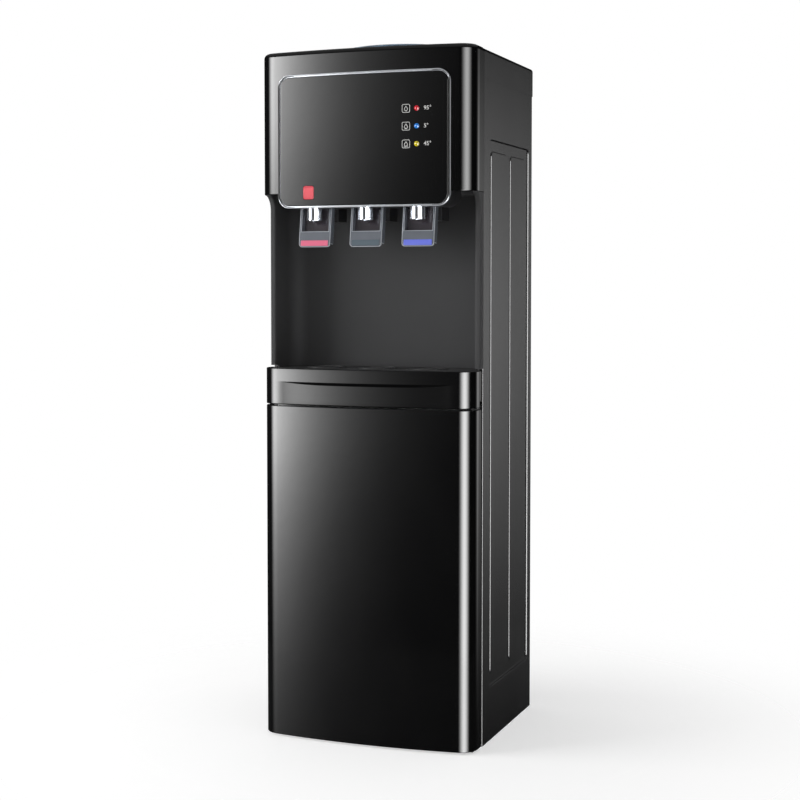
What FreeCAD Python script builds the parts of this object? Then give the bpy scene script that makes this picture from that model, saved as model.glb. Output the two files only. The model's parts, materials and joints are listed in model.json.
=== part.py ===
import FreeCAD, Part
import math
import os

import Sketcher
from FreeCAD import Placement, Rotation, Vector

# A floor-standing water dispenser. X is its width, the front faces -Y, Z is up, sizes are millimetres.
# "Reach" is how far something stands out before the side panels' front edges, "depth" how far behind.

VALUES = {
    # cabinet
    "cabinetWidth": 316, "panelDepth": 236, "plateReach": 58, "coverTop": 960, "footHeight": 2,
    "panelInset": 1, "sheet": 1, "panelBend": 4, "frontHem": 5, "backFlange": 12, "coverSkirt": 41,
    "coverWall": 2.5, "coverRound": 5, "headRound": 7, "lipDrop": 8, "lipWall": 2.5, "lipEnd": 10,
    # pressed field in the side panels
    "fieldFront": 28, "fieldBack": 15, "fieldBottom": 77, "fieldTop": 839.5, "fieldSunk": 2,
    "pressSlope": 2.5, "fieldRound": 8, "ribFrame": 10, "ribFrameBack": 15, "ribFrameEnds": 16,
    "ribBetween": 15, "raisedBy": 1.3,
    # base
    "panWall": 1.2, "panHeight": 20, "footRadius": 12, "footStem": 4, "footStemHeight": 16,
    "footInset": 28, "footBackInset": 24,
    # back panel
    "backRecess": 17, "backBottom": 215, "louvreLength": 60, "louvreHeight": 4, "louvrePitch": 11,
    "louvreRows": 6, "louvreBottom": 730, "screwInset": 36,
    # bowed front
    "frontInset": 1, "bowReach": 54, "bowRadius": 972, "cornerRadius": 25, "shellWall": 2.5,
    "headExtraReach": 2, "headBottom": 765, "headRise": 1.5,
    # dispensing bay
    "bayInset": 4.5, "bayWall": 2.5, "bayDepth": 51, "bayRound": 25, "bayBottom": 489, "cheekReach": 12,
    "cheekBottom": 525, "coveRadius": 20, "cheekWidth": 8, "cheekRound": 2.4, "runnerInset": 27,
    "runnerWidth": 8, "runnerGap": 0.3,
    # control panel and tap box
    "boxWidth": 252, "boxBottom": 745, "boxTop": 928, "boxRound": 17, "frameWidth": 2.8, "frameDepth": 6.5,
    "plateSunk": 0.8, "plateThick": 3.2, "boxWall": 2, "boxBackReach": 3, "boxGap": 0.3,
    "lampAcross": 80, "lampTop": 876, "lampPitch": 23.75, "lampRadius": 3.75, "lensRise": 0.7,
    "buttonAcross": 78.6, "buttonHeight": 766, "buttonWidth": 16.2, "buttonTall": 18.5, "buttonRound": 3,
    "buttonProud": 0.7, "buttonThick": 2.7, "buttonGap": 0.15, "buttonDish": 0.4, "buttonRim": 2,
    "boardThick": 1.5, "boardGap": 0.5, "boardWidth": 40, "boardMargin": 14, "lampBodyRadius": 2.5,
    # taps
    "tapPitch": 76.3, "spoutReach": 39, "spoutRadius": 11, "spoutBore": 9, "spoutBottom": 728,
    "spoutTop": 776, "valveRadius": 12.5, "valveTop": 792, "chamberRadius": 8, "chamberTop": 788,
    "stemRadius": 2.5, "stemGap": 0.06, "sealRadius": 7.2, "sealThick": 3, "stemRest": 1,
    "stemTop": 800, "blockHalf": 26, "blockBottom": 727, "blockReach": 15, "blockDepth": 15,
    "blockTop": 762.5, "spigotRadius": 4.5, "spigotHeight": 752, "pipeRadius": 6, "pipeBore": 4,
    "pipeHeight": 782, "pipeDepth": 22, "hubBottom": 749, "hubTop": 761, "hubHalf": 17,
    "hubBackReach": 20, "pinEnd": 1,
    # paddles
    "pivotReach": 26, "pivotHeight": 755, "pivotRadius": 2.5, "pivotGap": 0.06, "paddleAngle": 8,
    "paddleWidth": 47, "armWidth": 3, "armDepth": 12, "paddleDrop": 65, "windowDrop": 43,
    "padThick": 3, "webDrop": 30, "webThick": 2, "insertWidth": 41, "insertTall": 8,
    "insertRise": 1.5, "insertDepth": 2, "insertProud": 0.6, "insertRound": 0.48, "paddleChamfer": 5,
    "slotSide": 1, "slotFront": 3, "slotBack": 2.25,
    # drip drawer
    "drawerBottom": 472, "drawerTop": 522.5, "deckThick": 2, "gripWidth": 254, "gripTop": 504,
    "gripDepth": 9, "basinInset": 4, "basinReach": 38, "basinDepth": 47, "basinFloor": 494,
    "basinWall": 2, "grilleThick": 2.5, "grilleRim": 3, "grilleGap": 0.4, "centreHole": 5,
    "innerHole": 2.6, "innerRing": 13, "innerCount": 8, "outerHole": 2.6, "outerRing": 22,
    "outerCount": 14, "sideSlot": 3, "sideSlotPitch": 6, "sideSlotCount": 5,
    "sideSlotLength": 30, "drawerBackReach": 8,
    # door
    "doorBottom": 3.2, "doorTop": 470, "doorBackReach": 8, "linerThick": 3, "gasketWidth": 12,
    "gasketInset": 13, "gasketGap": 0.4, "gasketBottom": 30, "gasketTop": 466, "hingeInset": 12,
    "hingeReach": 14, "hingePin": 3, "hingeGap": 0.06, "bracketThick": 1.5, "lowerPinTop": 14,
    "upperPinBottom": 459, "upperBracket": 472.8, "bracketWidth": 24,
    # storage
    "linerInset": 24, "linerWall": 2, "linerFlangeInset": 4.5, "linerFlange": 2, "linerLowDepth": 100,
    "linerHighDepth": 205, "linerStep": 210, "linerBottom": 44, "linerTop": 456, "flangeBottom": 3,
    "flangeTop": 487, "shelfHeight": 330,
    "shelfThick": 4, "shelfGap": 0.5, "ribReach": 5, "ribThick": 4, "shelfFront": 10,
    "shelfSlotCount": 9, "shelfSlotWidth": 8, "shelfSlotPitch": 26, "shelfRim": 20,
    # bottle seat
    "seatDepth": 125, "seatRadius": 102, "seatRise": 16, "seatRound": 6, "seatHole": 96, "seatSkirt": 94,
    "seatWall": 2.5, "wellRadius": 33, "wellFloor": 905, "funnelDepth": 30, "bucketWall": 2.5,
    "bucketDrop": 24, "probeRadius": 11, "probeBore": 7, "probeTop": 950, "probeBottom": 872,
    # tanks
    "tankDepth": 133, "coldRadius": 64, "coldBottom": 700, "coldTop": 885, "tankWall": 1.5,
    "lidThick": 5, "foamRadius": 77, "foamBore": 70.5, "foamFloor": 15.5, "hotRadius": 48,
    "hotBottom": 560, "hotTop": 668, "hotFoamRadius": 62, "hotFoamGap": 1, "deckSheet": 1.5,
    "deckFlange": 12, "coilRadius": 2.8, "coilTurns": 6, "coilPitch": 21,
    "coilStart": 722, "coilMean": 67,
    "linkRadius": 5, "thermostatRadius": 8, "thermostatTall": 7,
    # compressor and condenser
    "compressorInset": 57, "compressorRadius": 55, "compressorBottom": 22, "compressorTop": 190,
    "compressorDome": 26, "plateHalf": 62, "plateSheet": 2.5, "mountRadius": 7, "mountAcross": 50,
    "mountStud": 2.5, "studTop": 31, "condenserTube": 2.4, "condenserRuns": 8, "condenserPitch": 40,
    "condenserBottom": 245, "condenserInset": 56, "condenserDepth": 226, "wireRadius": 0.7,
    "wireCount": 20, "wireSpan": 74, "wireOverhang": 5, "lineRadius": 3, "lineBend": 8,
    "dischargeInset": 38, "dischargeHeight": 80, "suctionInset": 66, "suctionDepth": 212,
    "suctionHeight": 120, "capillaryRadius": 1.2, "capillaryInset": 59, "capillaryBend": 5,
    "drierInset": 47, "drierRadius": 9, "drierLength": 80, "drierTop": 190, "capillaryDrop": 12,
    "clipSize": 10,
    # hoses and drains
    "hoseRadius": 5.2, "hoseBend": 12, "hoseInset": 52, "hoseDepth": 44, "stubRadius": 4,
    "hotStubEnd": 68, "coldStubEnd": 84, "warmStubDepth": 52, "hotStubHeight": 640,
    "coldStubHeight": 712, "warmStubHeight": 860, "warmHoseDepth": 38, "drainRadius": 5,
    "drainDepth": 230, "capRadius": 9, "capLength": 12, "capCover": 7.8, "capGap": 0.06,
    "capFlute": 1.3, "capFlutes": 12, "hotDrainHeight": 575, "coldDrainHeight": 712, "holeGap": 0.3,
    # switches, gland and screws
    "switchHeight": 845, "switchInset": 63, "switchPitch": 22, "switchHalf": 9.5, "switchTall": 12,
    "switchPlay": 2.2, "bezelMargin": 5, "bezelThick": 3, "switchBody": 20, "switchWall": 2,
    "rockerGap": 0.35, "rockerAngle": 8, "rockerPivot": 8, "rockerFace": 13.5, "rockerBack": 6,
    "rockerWaist": 6.6, "rockerShoulder": 8.8, "rockerDip": 2.5,
    "glandInset": 48, "glandHeight": 236, "glandRadius": 9, "glandFlange": 13, "glandBore": 4,
    "glandNose": 8, "glandNoseLength": 12,
    "screwHead": 4, "screwHeadTall": 2, "screwShank": 1.6,
    # how far a cutter reaches past what it cuts
    "past": 1,
}

doc = FreeCAD.newDocument("WaterDispenser")
sheet = doc.addObject("Spreadsheet::Sheet", "dims")
for row, (alias, value) in enumerate(VALUES.items(), start=1):
    sheet.set(f"A{row}", str(value))
    sheet.setAlias(f"A{row}", alias)
doc.recompute()


class Size:
    """A length together with the formula that gives it from the sheet's cells."""

    def __init__(self, text, value):
        self.text, self.value = text, float(value)

    def __float__(self):
        return self.value

    def __add__(self, other):
        other = size(other)
        return Size(f"({self.text} + {other.text})", self.value + other.value)

    def __sub__(self, other):
        other = size(other)
        return Size(f"({self.text} - {other.text})", self.value - other.value)

    def __mul__(self, other):
        other = size(other)
        return Size(f"({self.text} * {other.text})", self.value * other.value)

    def __truediv__(self, other):
        other = size(other)
        return Size(f"({self.text} / {other.text})", self.value / other.value)

    def __radd__(self, other):
        return size(other) + self

    def __rsub__(self, other):
        return size(other) - self

    def __rmul__(self, other):
        return size(other) * self

    def __neg__(self):
        return size(0) - self

    def root(self):
        return Size(f"sqrt({self.text})", math.sqrt(self.value))


def size(number):
    return number if isinstance(number, Size) else Size(repr(float(number)), number)


class Dims:
    """Gives each of the sheet's cells by its name."""

    def __getattr__(self, alias):
        return Size(f"dims.{alias}", sheet.get(alias))


def whole(number):
    """A count, as a whole number."""
    return int(round(float(number)))


d = Dims()
SUBPARTS = []
ALONG = {"x": Rotation(Vector(0, 1, 0), 90), "y": Rotation(Vector(1, 0, 0), -90), "z": Rotation()}


def keep(thing, node):
    """Names a finished sub-part after its node."""
    thing.Label = node
    SUBPARTS.append(thing)
    return thing


def place(thing, x, y, z, turn=None):
    if turn is not None:
        thing.Placement = Placement(Vector(0, 0, 0), turn)
    for letter, where in zip("xyz", (x, y, z)):
        thing.setExpression(f"Placement.Base.{letter}", size(where).text)
    return thing


def block(x, y, z, name="block"):
    """A box between two values on each axis."""
    thing = doc.addObject("Part::Box", name)
    for prop, (low, high) in zip(("Length", "Width", "Height"), (x, y, z)):
        thing.setExpression(prop, (size(high) - low).text)
    return place(thing, x[0], y[0], z[0])


def rod(axis, radius, x, y, z, name="rod"):
    """A cylinder along one axis, whose span there is a pair of values."""
    spans = {"x": x, "y": y, "z": z}
    low, high = spans[axis]
    spans[axis] = low
    thing = doc.addObject("Part::Cylinder", name)
    thing.setExpression("Radius", size(radius).text)
    thing.setExpression("Height", (size(high) - low).text)
    return place(thing, spans["x"], spans["y"], spans["z"], ALONG[axis])


def group(things, name="group"):
    if len(things) == 1:
        return things[0]
    thing = doc.addObject("Part::Compound", name)
    thing.Links = things
    return thing


def cut(base, tools, name="cut"):
    thing = doc.addObject("Part::Cut", name)
    thing.Base = base
    thing.Tool = group(list(tools))
    return thing


def join(things, name="join"):
    thing = doc.addObject("Part::MultiFuse", name)
    thing.Shapes = list(things)
    thing.Refine = True
    return thing


def rounded(base, radius, pick, name="rounded"):
    """Rounds the edges of a solid that pick accepts."""
    doc.recompute()
    chosen = [i for i, edge in enumerate(base.Shape.Edges, start=1) if pick(edge)]
    thing = doc.addObject("Part::Fillet", name)
    thing.Base = base
    thing.Edges = [(i, float(radius), float(radius)) for i in chosen]
    return thing


def along(edge, axis):
    """True for a straight edge that runs along an axis."""
    if edge.Curve.TypeId != "Part::GeomLine":
        return False
    return abs(abs(edge.tangentAt(edge.FirstParameter).dot(axis)) - 1) < 1e-6


def formed(shape, name="formed", at=(0, 0, 0), turn=None):
    """A finished shape, set in its place."""
    thing = doc.addObject("Part::Feature", name)
    thing.Shape = shape
    thing.Placement = Placement(Vector(*(float(a) for a in at)), turn or Rotation())
    return thing


def draw(sketch, corners):
    """Draws one closed outline. A corner is (u, v), or (u, v, radius, centre) where an arc leaves it."""
    count = len(corners)
    spots = [Vector(float(c[0]), float(c[1]), 0) for c in corners]
    ends = []
    for i, corner in enumerate(corners):
        start, stop = spots[i], spots[(i + 1) % count]
        if len(corner) == 2:
            index = sketch.addGeometry(Part.LineSegment(start, stop), False)
            ends.append((index, 1, 2))
            continue
        radius, centre = corner[2], Vector(float(corner[3][0]), float(corner[3][1]), 0)
        turns_left = (start - centre).cross(stop - centre).z > 0
        first, last = (start, stop) if turns_left else (stop, start)
        angles = [math.atan2((p - centre).y, (p - centre).x) for p in (first, last)]
        if angles[1] < angles[0]:
            angles[1] += 2 * math.pi
        circle = Part.Circle(centre, Vector(0, 0, 1), float(radius))
        index = sketch.addGeometry(Part.ArcOfCircle(circle, *angles), False)
        ends.append((index, 1, 2) if turns_left else (index, 2, 1))
        number = sketch.addConstraint(Sketcher.Constraint("Radius", index, float(radius)))
        sketch.setExpression(f"Constraints[{number}]", size(radius).text)
    for i, corner in enumerate(corners):
        index, start, _ = ends[i]
        before, _, stop = ends[i - 1]
        sketch.addConstraint(Sketcher.Constraint("Coincident", before, stop, index, start))
        for kind, value in (("DistanceX", corner[0]), ("DistanceY", corner[1])):
            number = sketch.addConstraint(Sketcher.Constraint(kind, -1, 1, index, start, float(value)))
            sketch.setExpression(f"Constraints[{number}]", size(value).text)


PLANES = {"xy": "XY_Plane", "xz": "XZ_Plane", "yz": "YZ_Plane"}


def sketched(body, plane, outlines, height=0, name="profile"):
    """A sketch on one of the body's own planes, raised along that plane's normal."""
    sketch = body.newObject("Sketcher::SketchObject", name)
    origin = [f for f in body.Origin.OriginFeatures if f.Role == PLANES[plane]]
    sketch.AttachmentSupport = [(origin[0], "")]
    sketch.MapMode = "FlatFace"
    sketch.setExpression("AttachmentOffset.Base.z", size(height).text)
    for corners in outlines:
        draw(sketch, corners)
    return sketch


def pad(body, sketch, length, name="Pad"):
    thing = body.newObject("PartDesign::Pad", name)
    thing.Profile = sketch
    thing.setExpression("Length", size(length).text)
    return thing


def prism(plane, corners, low, high, name="prism"):
    """A body with one padded outline between two heights above its plane."""
    body = doc.addObject("PartDesign::Body", name)
    pad(body, sketched(body, plane, [corners], low), size(high) - low)
    return body


def turned(corners, x, y, name="turned"):
    """A body of revolution about a vertical axis: corners are (radius, height)."""
    body = doc.addObject("PartDesign::Body", name)
    sketch = sketched(body, "xz", [corners])
    thing = body.newObject("PartDesign::Revolution", "Revolution")
    thing.Profile = sketch
    thing.ReferenceAxis = (sketch, ["V_Axis"])
    thing.Angle = 360
    return place(body, x, y, 0)


def bent(points, radius):
    """A wire of straight runs joined by tangent arcs of one radius."""
    spots = [Vector(*(float(c) for c in p)) for p in points]
    edges, start = [], spots[0]
    for before, corner, after in zip(spots, spots[1:], spots[2:]):
        back, ahead = (before - corner).normalize(), (after - corner).normalize()
        half = (back.getAngle(ahead)) / 2
        trim = float(radius) / math.tan(half)
        first, last = corner + back * trim, corner + ahead * trim
        middle = (back + ahead).normalize()
        middle = corner + middle * (float(radius) / math.sin(half) - float(radius))
        if (first - start).Length > 1e-6:
            edges.append(Part.LineSegment(start, first).toShape())
        edges.append(Part.Arc(first, middle, last).toShape())
        start = last
    if (spots[-1] - start).Length > 1e-6:
        edges.append(Part.LineSegment(start, spots[-1]).toShape())
    return Part.Wire(edges)


def tube(points, radius, bend):
    """A round bar swept along straight runs and tangent arcs."""
    path = bent(points, bend)
    first = path.Edges[0]
    direction = first.tangentAt(first.FirstParameter)
    start = first.valueAt(first.FirstParameter)
    ring = Part.Wire([Part.Circle(start, direction, float(radius)).toShape()])
    return path.makePipeShell([ring], True, False)


# Planes and spans that many pieces share
half = d.cabinetWidth / 2
panelFace = half - d.panelInset
panelInner = panelFace - d.sheet
front = (d.plateReach - d.panelDepth) / 2
past = d.past
panelBottom = d.footHeight
panelTop = d.coverTop - d.coverSkirt
backPlane = front + d.panelDepth - d.backRecess
bayBack = front + d.bayDepth + d.bayWall
tankY = front + d.tankDepth
compressorY = backPlane - d.compressorInset
headTop = d.coverTop + d.headRise
frontHalf = half - d.frontInset
bayHalf = panelInner - d.bayInset
basinHalf = bayHalf - d.bayWall - d.basinInset
linerFlangeHalf = panelInner - d.linerFlangeInset
glandX, switchX = half - d.glandInset, d.switchInset - half
hoseX, suctionX = panelInner - d.hoseInset, panelInner - d.suctionInset
capillaryX, drierX = panelInner - d.capillaryInset, panelInner - d.drierInset
dischargeX, condenserHalf = panelInner - d.dischargeInset, panelInner - d.condenserInset
TAPS = (("hot", -1), ("warm", 0), ("cold", 1))


def bulge(halfWidth, reach, back, inset=0):
    """The corners of the bowed front's outline, drawn in by a wall's thickness."""
    wide, radius, corner = size(halfWidth) - inset, d.bowRadius - inset, d.cornerRadius - inset
    bowY = front - reach + d.bowRadius
    acrossCorner = wide - corner
    drop = ((radius - corner) * (radius - corner) - acrossCorner * acrossCorner).root()
    cornerY = bowY - drop
    share = radius / (radius - corner)
    meetX, meetY = acrossCorner * share, bowY - drop * share
    return [
        (wide, back),
        (wide, cornerY, corner, (acrossCorner, cornerY)),
        (meetX, meetY, radius, (0, bowY)),
        (-meetX, meetY, corner, (-acrossCorner, cornerY)),
        (-wide, cornerY),
        (-wide, back),
    ]


def channel(halfWidth, reach, back, wall):
    """The outline of a bowed wall that is open at the back."""
    outer = bulge(halfWidth, reach, back)
    inner = bulge(halfWidth, reach, back, wall)
    way_back = []
    for i in range(len(inner) - 1, -1, -1):
        before = inner[i - 1] if i else None
        bend = before[2:] if before is not None and len(before) == 4 else ()
        way_back.append((inner[i][0], inner[i][1]) + tuple(bend))
    return outer + way_back


def round_rectangle(low, high, radius):
    """Corners of a rounded rectangle from its low and high corner."""
    (u0, v0), (u1, v1), r = low, high, radius
    u0, v0, u1, v1 = size(u0), size(v0), size(u1), size(v1)
    return [
        (u0 + r, v0),
        (u1 - r, v0, r, (u1 - r, v0 + r)),
        (u1, v0 + r),
        (u1, v1 - r, r, (u1 - r, v1 - r)),
        (u1 - r, v1),
        (u0 + r, v1, r, (u0 + r, v1 - r)),
        (u0, v1 - r),
        (u0, v0 + r, r, (u0 + r, v0 + r)),
    ]


def slab(low, high, radius, yFront, yBack, name="slab"):
    """An upright rounded plate. An XZ sketch faces -Y, so its heights are counted towards the front."""
    return prism("xz", round_rectangle(low, high, radius), -size(yBack), -size(yFront), name)


# Side panels

def outline_wire(low, high, radius, x):
    """A rounded rectangle as a wire in a YZ plane."""
    (y0, z0), (y1, z1), r = low, high, radius
    k = r * (1 - math.sqrt(0.5))
    rows = [
        ((y0 + r, z0), None, (y1 - r, z0)), ((y1 - r, z0), (y1 - k, z0 + k), (y1, z0 + r)),
        ((y1, z0 + r), None, (y1, z1 - r)), ((y1, z1 - r), (y1 - k, z1 - k), (y1 - r, z1)),
        ((y1 - r, z1), None, (y0 + r, z1)), ((y0 + r, z1), (y0 + k, z1 - k), (y0, z1 - r)),
        ((y0, z1 - r), None, (y0, z0 + r)), ((y0, z0 + r), (y0 + k, z0 + k), (y0 + r, z0)),
    ]
    edges = []
    for start, middle, stop in rows:
        spots = [Vector(x, *p) for p in (start, middle, stop) if p is not None]
        edge = Part.LineSegment(*spots) if middle is None else Part.Arc(*spots)
        edges.append(edge.toShape())
    return Part.Wire(edges)


def pressing(low, high, radius, xWide, xNarrow, slope):
    """A shallow frustum between two rounded rectangles, wide at one plane and drawn in at the other."""
    inLow, inHigh = tuple(c + slope for c in low), tuple(c - slope for c in high)
    wires = [outline_wire(low, high, radius, xWide), outline_wire(inLow, inHigh, radius - slope, xNarrow)]
    solid = Part.makeLoft(wires, True, True)
    if solid.Volume < 0:
        solid.reverse()
    return solid


def side_panels():
    """Folded sheets: a hem at the front, a flange at the back, and a sunk field with two raised panels."""
    y0, y1, t, r = front, front + d.panelDepth, d.sheet, d.panelBend
    x, hem, flange = panelFace, panelFace - d.frontHem, panelFace - d.backFlange
    corners = [
        (x, y1), (x, y0 + r, r, (x - r, y0 + r)), (x - r, y0), (hem, y0), (hem, y0 + t),
        (x - r, y0 + t, r - t, (x - r, y0 + r)), (x - t, y0 + r), (x - t, y1 - t), (flange, y1 - t),
        (flange, y1),
    ]
    blank = prism("xy", corners, panelBottom, panelTop, "panel_blank")

    low = (float(y0 + d.fieldFront), float(d.fieldBottom))
    high = (float(y1 - d.fieldBack), float(d.fieldTop))
    face, t, sunk = float(x), float(d.sheet), float(d.fieldSunk)
    slope, radius = float(d.pressSlope), float(d.fieldRound)
    inward = (-t, 0, 0)
    dish = pressing(low, high, radius, face, face - sunk, slope)

    frame, frameBack, ends = float(d.ribFrame), float(d.ribFrameBack), float(d.ribFrameEnds)
    between, raised = float(d.ribBetween), float(d.raisedBy)
    wide = (high[0] - low[0] - frame - frameBack - between) / 2
    fields = []
    for number in (0, 1):
        start = low[0] + frame + number * (wide + between)
        corner0, corner1 = (start, low[1] + ends), (start + wide, high[1] - ends)
        fields.append(pressing(corner0, corner1, radius, face - sunk, face - sunk + raised, raised))
    # the sheet's own thickness follows the pressing on the inside
    solid = cut(join([blank, formed(dish, "dish_back", inward)], "panel_backed"),
                [formed(dish, "dish_front")], "panel_dished")
    solid = join([solid] + [formed(f, "raised_field") for f in fields], "panel_raised")
    solid = cut(solid, [formed(f, "raised_hollow", inward) for f in fields], "right_panel")
    keep(solid, "right_side_panel")
    mirror = doc.addObject("Part::Mirroring", "left_panel")
    mirror.Source = solid
    mirror.Normal = Vector(1, 0, 0)
    keep(mirror, "left_side_panel")


# Base, feet, back panel and top cover

def foot_spots():
    for x in (-1, 1):
        for y in (front + d.footInset, front + d.panelDepth - d.footBackInset):
            yield x * (panelInner - d.footInset), y


def base():
    """A folded pan with the four feet screwed through its floor."""
    y0, y1 = front + d.panelBend, front + d.panelDepth - d.sheet
    z0, t = panelBottom, d.panWall
    outer = block((-panelInner, panelInner), (y0, y1), (z0, z0 + d.panHeight))
    hollow = block((-panelInner + t, panelInner - t), (y0 + t, y1 - t), (z0 + t, z0 + d.panHeight + t))
    holes = [rod("z", d.footStem + d.holeGap, x, y, (z0 - t, z0 + t * 2)) for x, y in foot_spots()]
    keep(cut(outer, [hollow] + holes), "base_pan")
    feet = []
    for x, y in foot_spots():
        disc = rod("z", d.footRadius, x, y, (0, d.footHeight))
        stem = rod("z", d.footStem, x, y, (0, d.footStemHeight))
        feet.append(join([disc, stem], "foot"))
    keep(group(feet, "feet"), "levelling_feet")


def back_holes():
    """Everything that passes through the back panel."""
    t = d.sheet
    span = (backPlane - t, backPlane + t * 2)
    tools = []
    for row in range(whole(d.louvreRows)):
        z = d.louvreBottom + d.louvrePitch * row
        for s in (-1, 1):
            x = s * (half / 2) - d.louvreLength / 2
            tools.append(block((x, x + d.louvreLength), span, (z, z + d.louvreHeight)))
    for x, z in drains().values():
        tools.append(rod("y", d.drainRadius + d.holeGap, x, span, z))
    across, tall = switch_body()
    tools.append(block((switchX - across, switchX + across), span,
                       (d.switchHeight - tall, d.switchHeight + tall)))
    tools.append(rod("y", d.glandRadius, glandX, span, d.glandHeight))
    tools += [rod("y", d.screwShank, x, span, z) for x, z in screw_spots()]
    return tools


def switch_body():
    """Half the width and half the height of the switch housing behind the panel."""
    across = d.switchPitch / 2 + d.switchHalf + d.rockerGap + d.switchWall
    return across, d.switchTall + d.switchPlay + d.switchWall


def drains():
    return {"hot": (size(0), d.hotDrainHeight), "cold": (size(0), d.coldDrainHeight)}


def deck_heights():
    """The undersides of the two decks that carry the tanks."""
    return [bottom - d.foamFloor - d.deckSheet for bottom in (d.hotBottom, d.coldBottom)]


def screw_spots():
    for z in deck_heights():
        for s in (-1, 1):
            yield s * (half - d.screwInset), z - d.deckFlange / 2


def back_panel():
    y0, y1, x, t = backPlane, front + d.panelDepth, panelFace - d.backFlange, d.sheet
    corners = [(-x, y1), (-x, y0), (x, y0), (x, y1), (x - t, y1), (x - t, y0 + t), (-x + t, y0 + t),
               (-x + t, y1)]
    sheetBody = prism("xy", corners, d.backBottom, panelTop, "back_sheet")
    keep(cut(sheetBody, back_holes()), "back_panel")
    screws = []
    for x, z in screw_spots():
        head = rod("y", d.screwHead, x, (y0 + t, y0 + t + d.screwHeadTall), z)
        shank = rod("y", d.screwShank, x, (y0 - d.deckSheet, y0 + t + d.screwHeadTall), z)
        screws.append(join([head, shank], "screw"))
    keep(group(screws, "screws"), "back_screws")


def top_cover():
    """A deep cover whose skirt stands on the side panels, with the bottle seat's bucket in it."""
    y0, y1, z0, z1, t = front, front + d.panelDepth, panelTop, d.coverTop, d.coverWall
    outer = block((-half, half), (y0, y1), (z0, z1))
    inner = block((-half + t, half - t), (y0 - t, y1 - t), (z0 - t, z1 - t))

    def shoulder(edge):
        return along(edge, Vector(0, 1, 0)) and edge.CenterOfMass.z > float(z0 + t)

    outer = rounded(outer, d.coverRound, shoulder)
    inner = rounded(inner, d.coverRound - t, shoulder)
    shell = cut(outer, [inner])
    seatY = front + d.seatDepth
    bucket = rod("z", d.seatHole + d.bucketWall, 0, seatY, (z1 - d.bucketDrop, z1 - t))
    along_lip, lip = (y0 + d.bayDepth, y1 - d.lipEnd), panelInner - d.lipWall
    lips = [block(sorted_pair(s * lip, s * panelInner), along_lip, (z0 - d.lipDrop, z0 + t))
            for s in (-1, 1)]
    ties = [block(sorted_pair(s * lip, s * (half - t / 2)), along_lip, (z0, z0 + t)) for s in (-1, 1)]
    solid = join([shell, bucket] + lips + ties)
    well = rod("z", d.seatHole, 0, seatY, (z1 - d.bucketDrop - t, z1 + t))
    keep(cut(solid, [well]), "top_cover")


def sorted_pair(a, b):
    a, b = size(a), size(b)
    return (a, b) if a.value < b.value else (b, a)


# Head, bay and control panel

def top_edge(level):
    """Picks the edges round the top of the head, apart from the open back."""
    return lambda e: e.BoundBox.ZMin > float(level) - 0.01 and e.CenterOfMass.y < float(front) - 0.01


def head_housing():
    reach, z0, z1, t = d.bowReach + d.headExtraReach, d.headBottom, headTop, d.shellWall
    outer = prism("xy", bulge(half, reach, front), z0, z1, "head_outer")
    outer = rounded(outer, d.headRound, top_edge(z1))
    inner = prism("xy", bulge(half, reach, front + t, t), z0 + t, z1 - t, "head_inner")
    inner = rounded(inner, d.headRound - t, top_edge(z1 - t))
    g = d.boxGap
    low, high = (-d.boxWidth / 2 - g, d.boxBottom - d.boxRound), (d.boxWidth / 2 + g, d.boxTop + g)
    opening = slab(low, high, d.boxRound, front - d.plateReach - t, front + t, "head_opening")
    keep(cut(outer, [inner, opening]), "head_housing")


def bay_shell():
    """The back wall with its rounded corners, ceiling, the floor that the drawer runs on, and two cheeks."""
    x, t, r = bayHalf, d.bayWall, d.bayRound
    y0, y1 = front, bayBack
    corners = [
        (x, y0), (x, y1 - r, r, (x - r, y1 - r)), (x - r, y1), (-x + r, y1, r, (-x + r, y1 - r)),
        (-x, y1 - r), (-x, y0), (-x + t, y0), (-x + t, y1 - r, r - t, (-x + r, y1 - r)),
        (-x + r, y1 - t), (x - r, y1 - t, r - t, (x - r, y1 - r)), (x - t, y1 - r), (x - t, y0),
    ]
    wall = prism("xy", corners, d.bayBottom, d.headBottom, "bay_wall")
    inside = (-x + t, x - t)
    ceiling = block(inside, (front - d.boxBackReach, y1 - t), (d.headBottom - t, d.headBottom))
    floor = block(inside, (y0, y1 - t), (d.bayBottom, d.bayBottom + t))
    cheeks = []
    r = d.coveRadius
    for s in (-1, 1):
        outline = [
            (y0, d.cheekBottom), (y0, d.headBottom), (y0 - d.cheekReach - r, d.headBottom, r,
                                                      (y0 - d.cheekReach - r, d.headBottom - r)),
            (y0 - d.cheekReach, d.headBottom - r), (y0 - d.cheekReach, d.cheekBottom),
        ]
        low, high = sorted_pair(s * (panelFace - d.cheekWidth), s * panelFace)
        cheek = prism("yz", outline, low, high, "cheek")
        edge = float(y0 - d.cheekReach)
        cheeks.append(rounded(cheek, d.cheekRound, lambda e: along(e, Vector(0, 0, 1))
                              and abs(e.CenterOfMass.y - edge) < 0.01))
    w, runnerX = d.runnerWidth / 2, basinHalf - d.runnerInset
    runners = [block((s * runnerX - w, s * runnerX + w), (y0, y1 - t),
                     (d.bayBottom, d.basinFloor - d.runnerGap)) for s in (-1, 1)]
    solid = join([wall, ceiling, floor] + cheeks + runners)
    opening = slab((-d.boxWidth / 2 - d.boxGap, d.boxBottom), (d.boxWidth / 2 + d.boxGap, d.boxTop),
                   d.boxRound, front - d.plateReach, front - d.boxBackReach + d.boxGap, "bay_opening")
    keep(cut(solid, [opening]), "bay_shell")


def tap_x(side):
    return side * d.tapPitch


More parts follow.
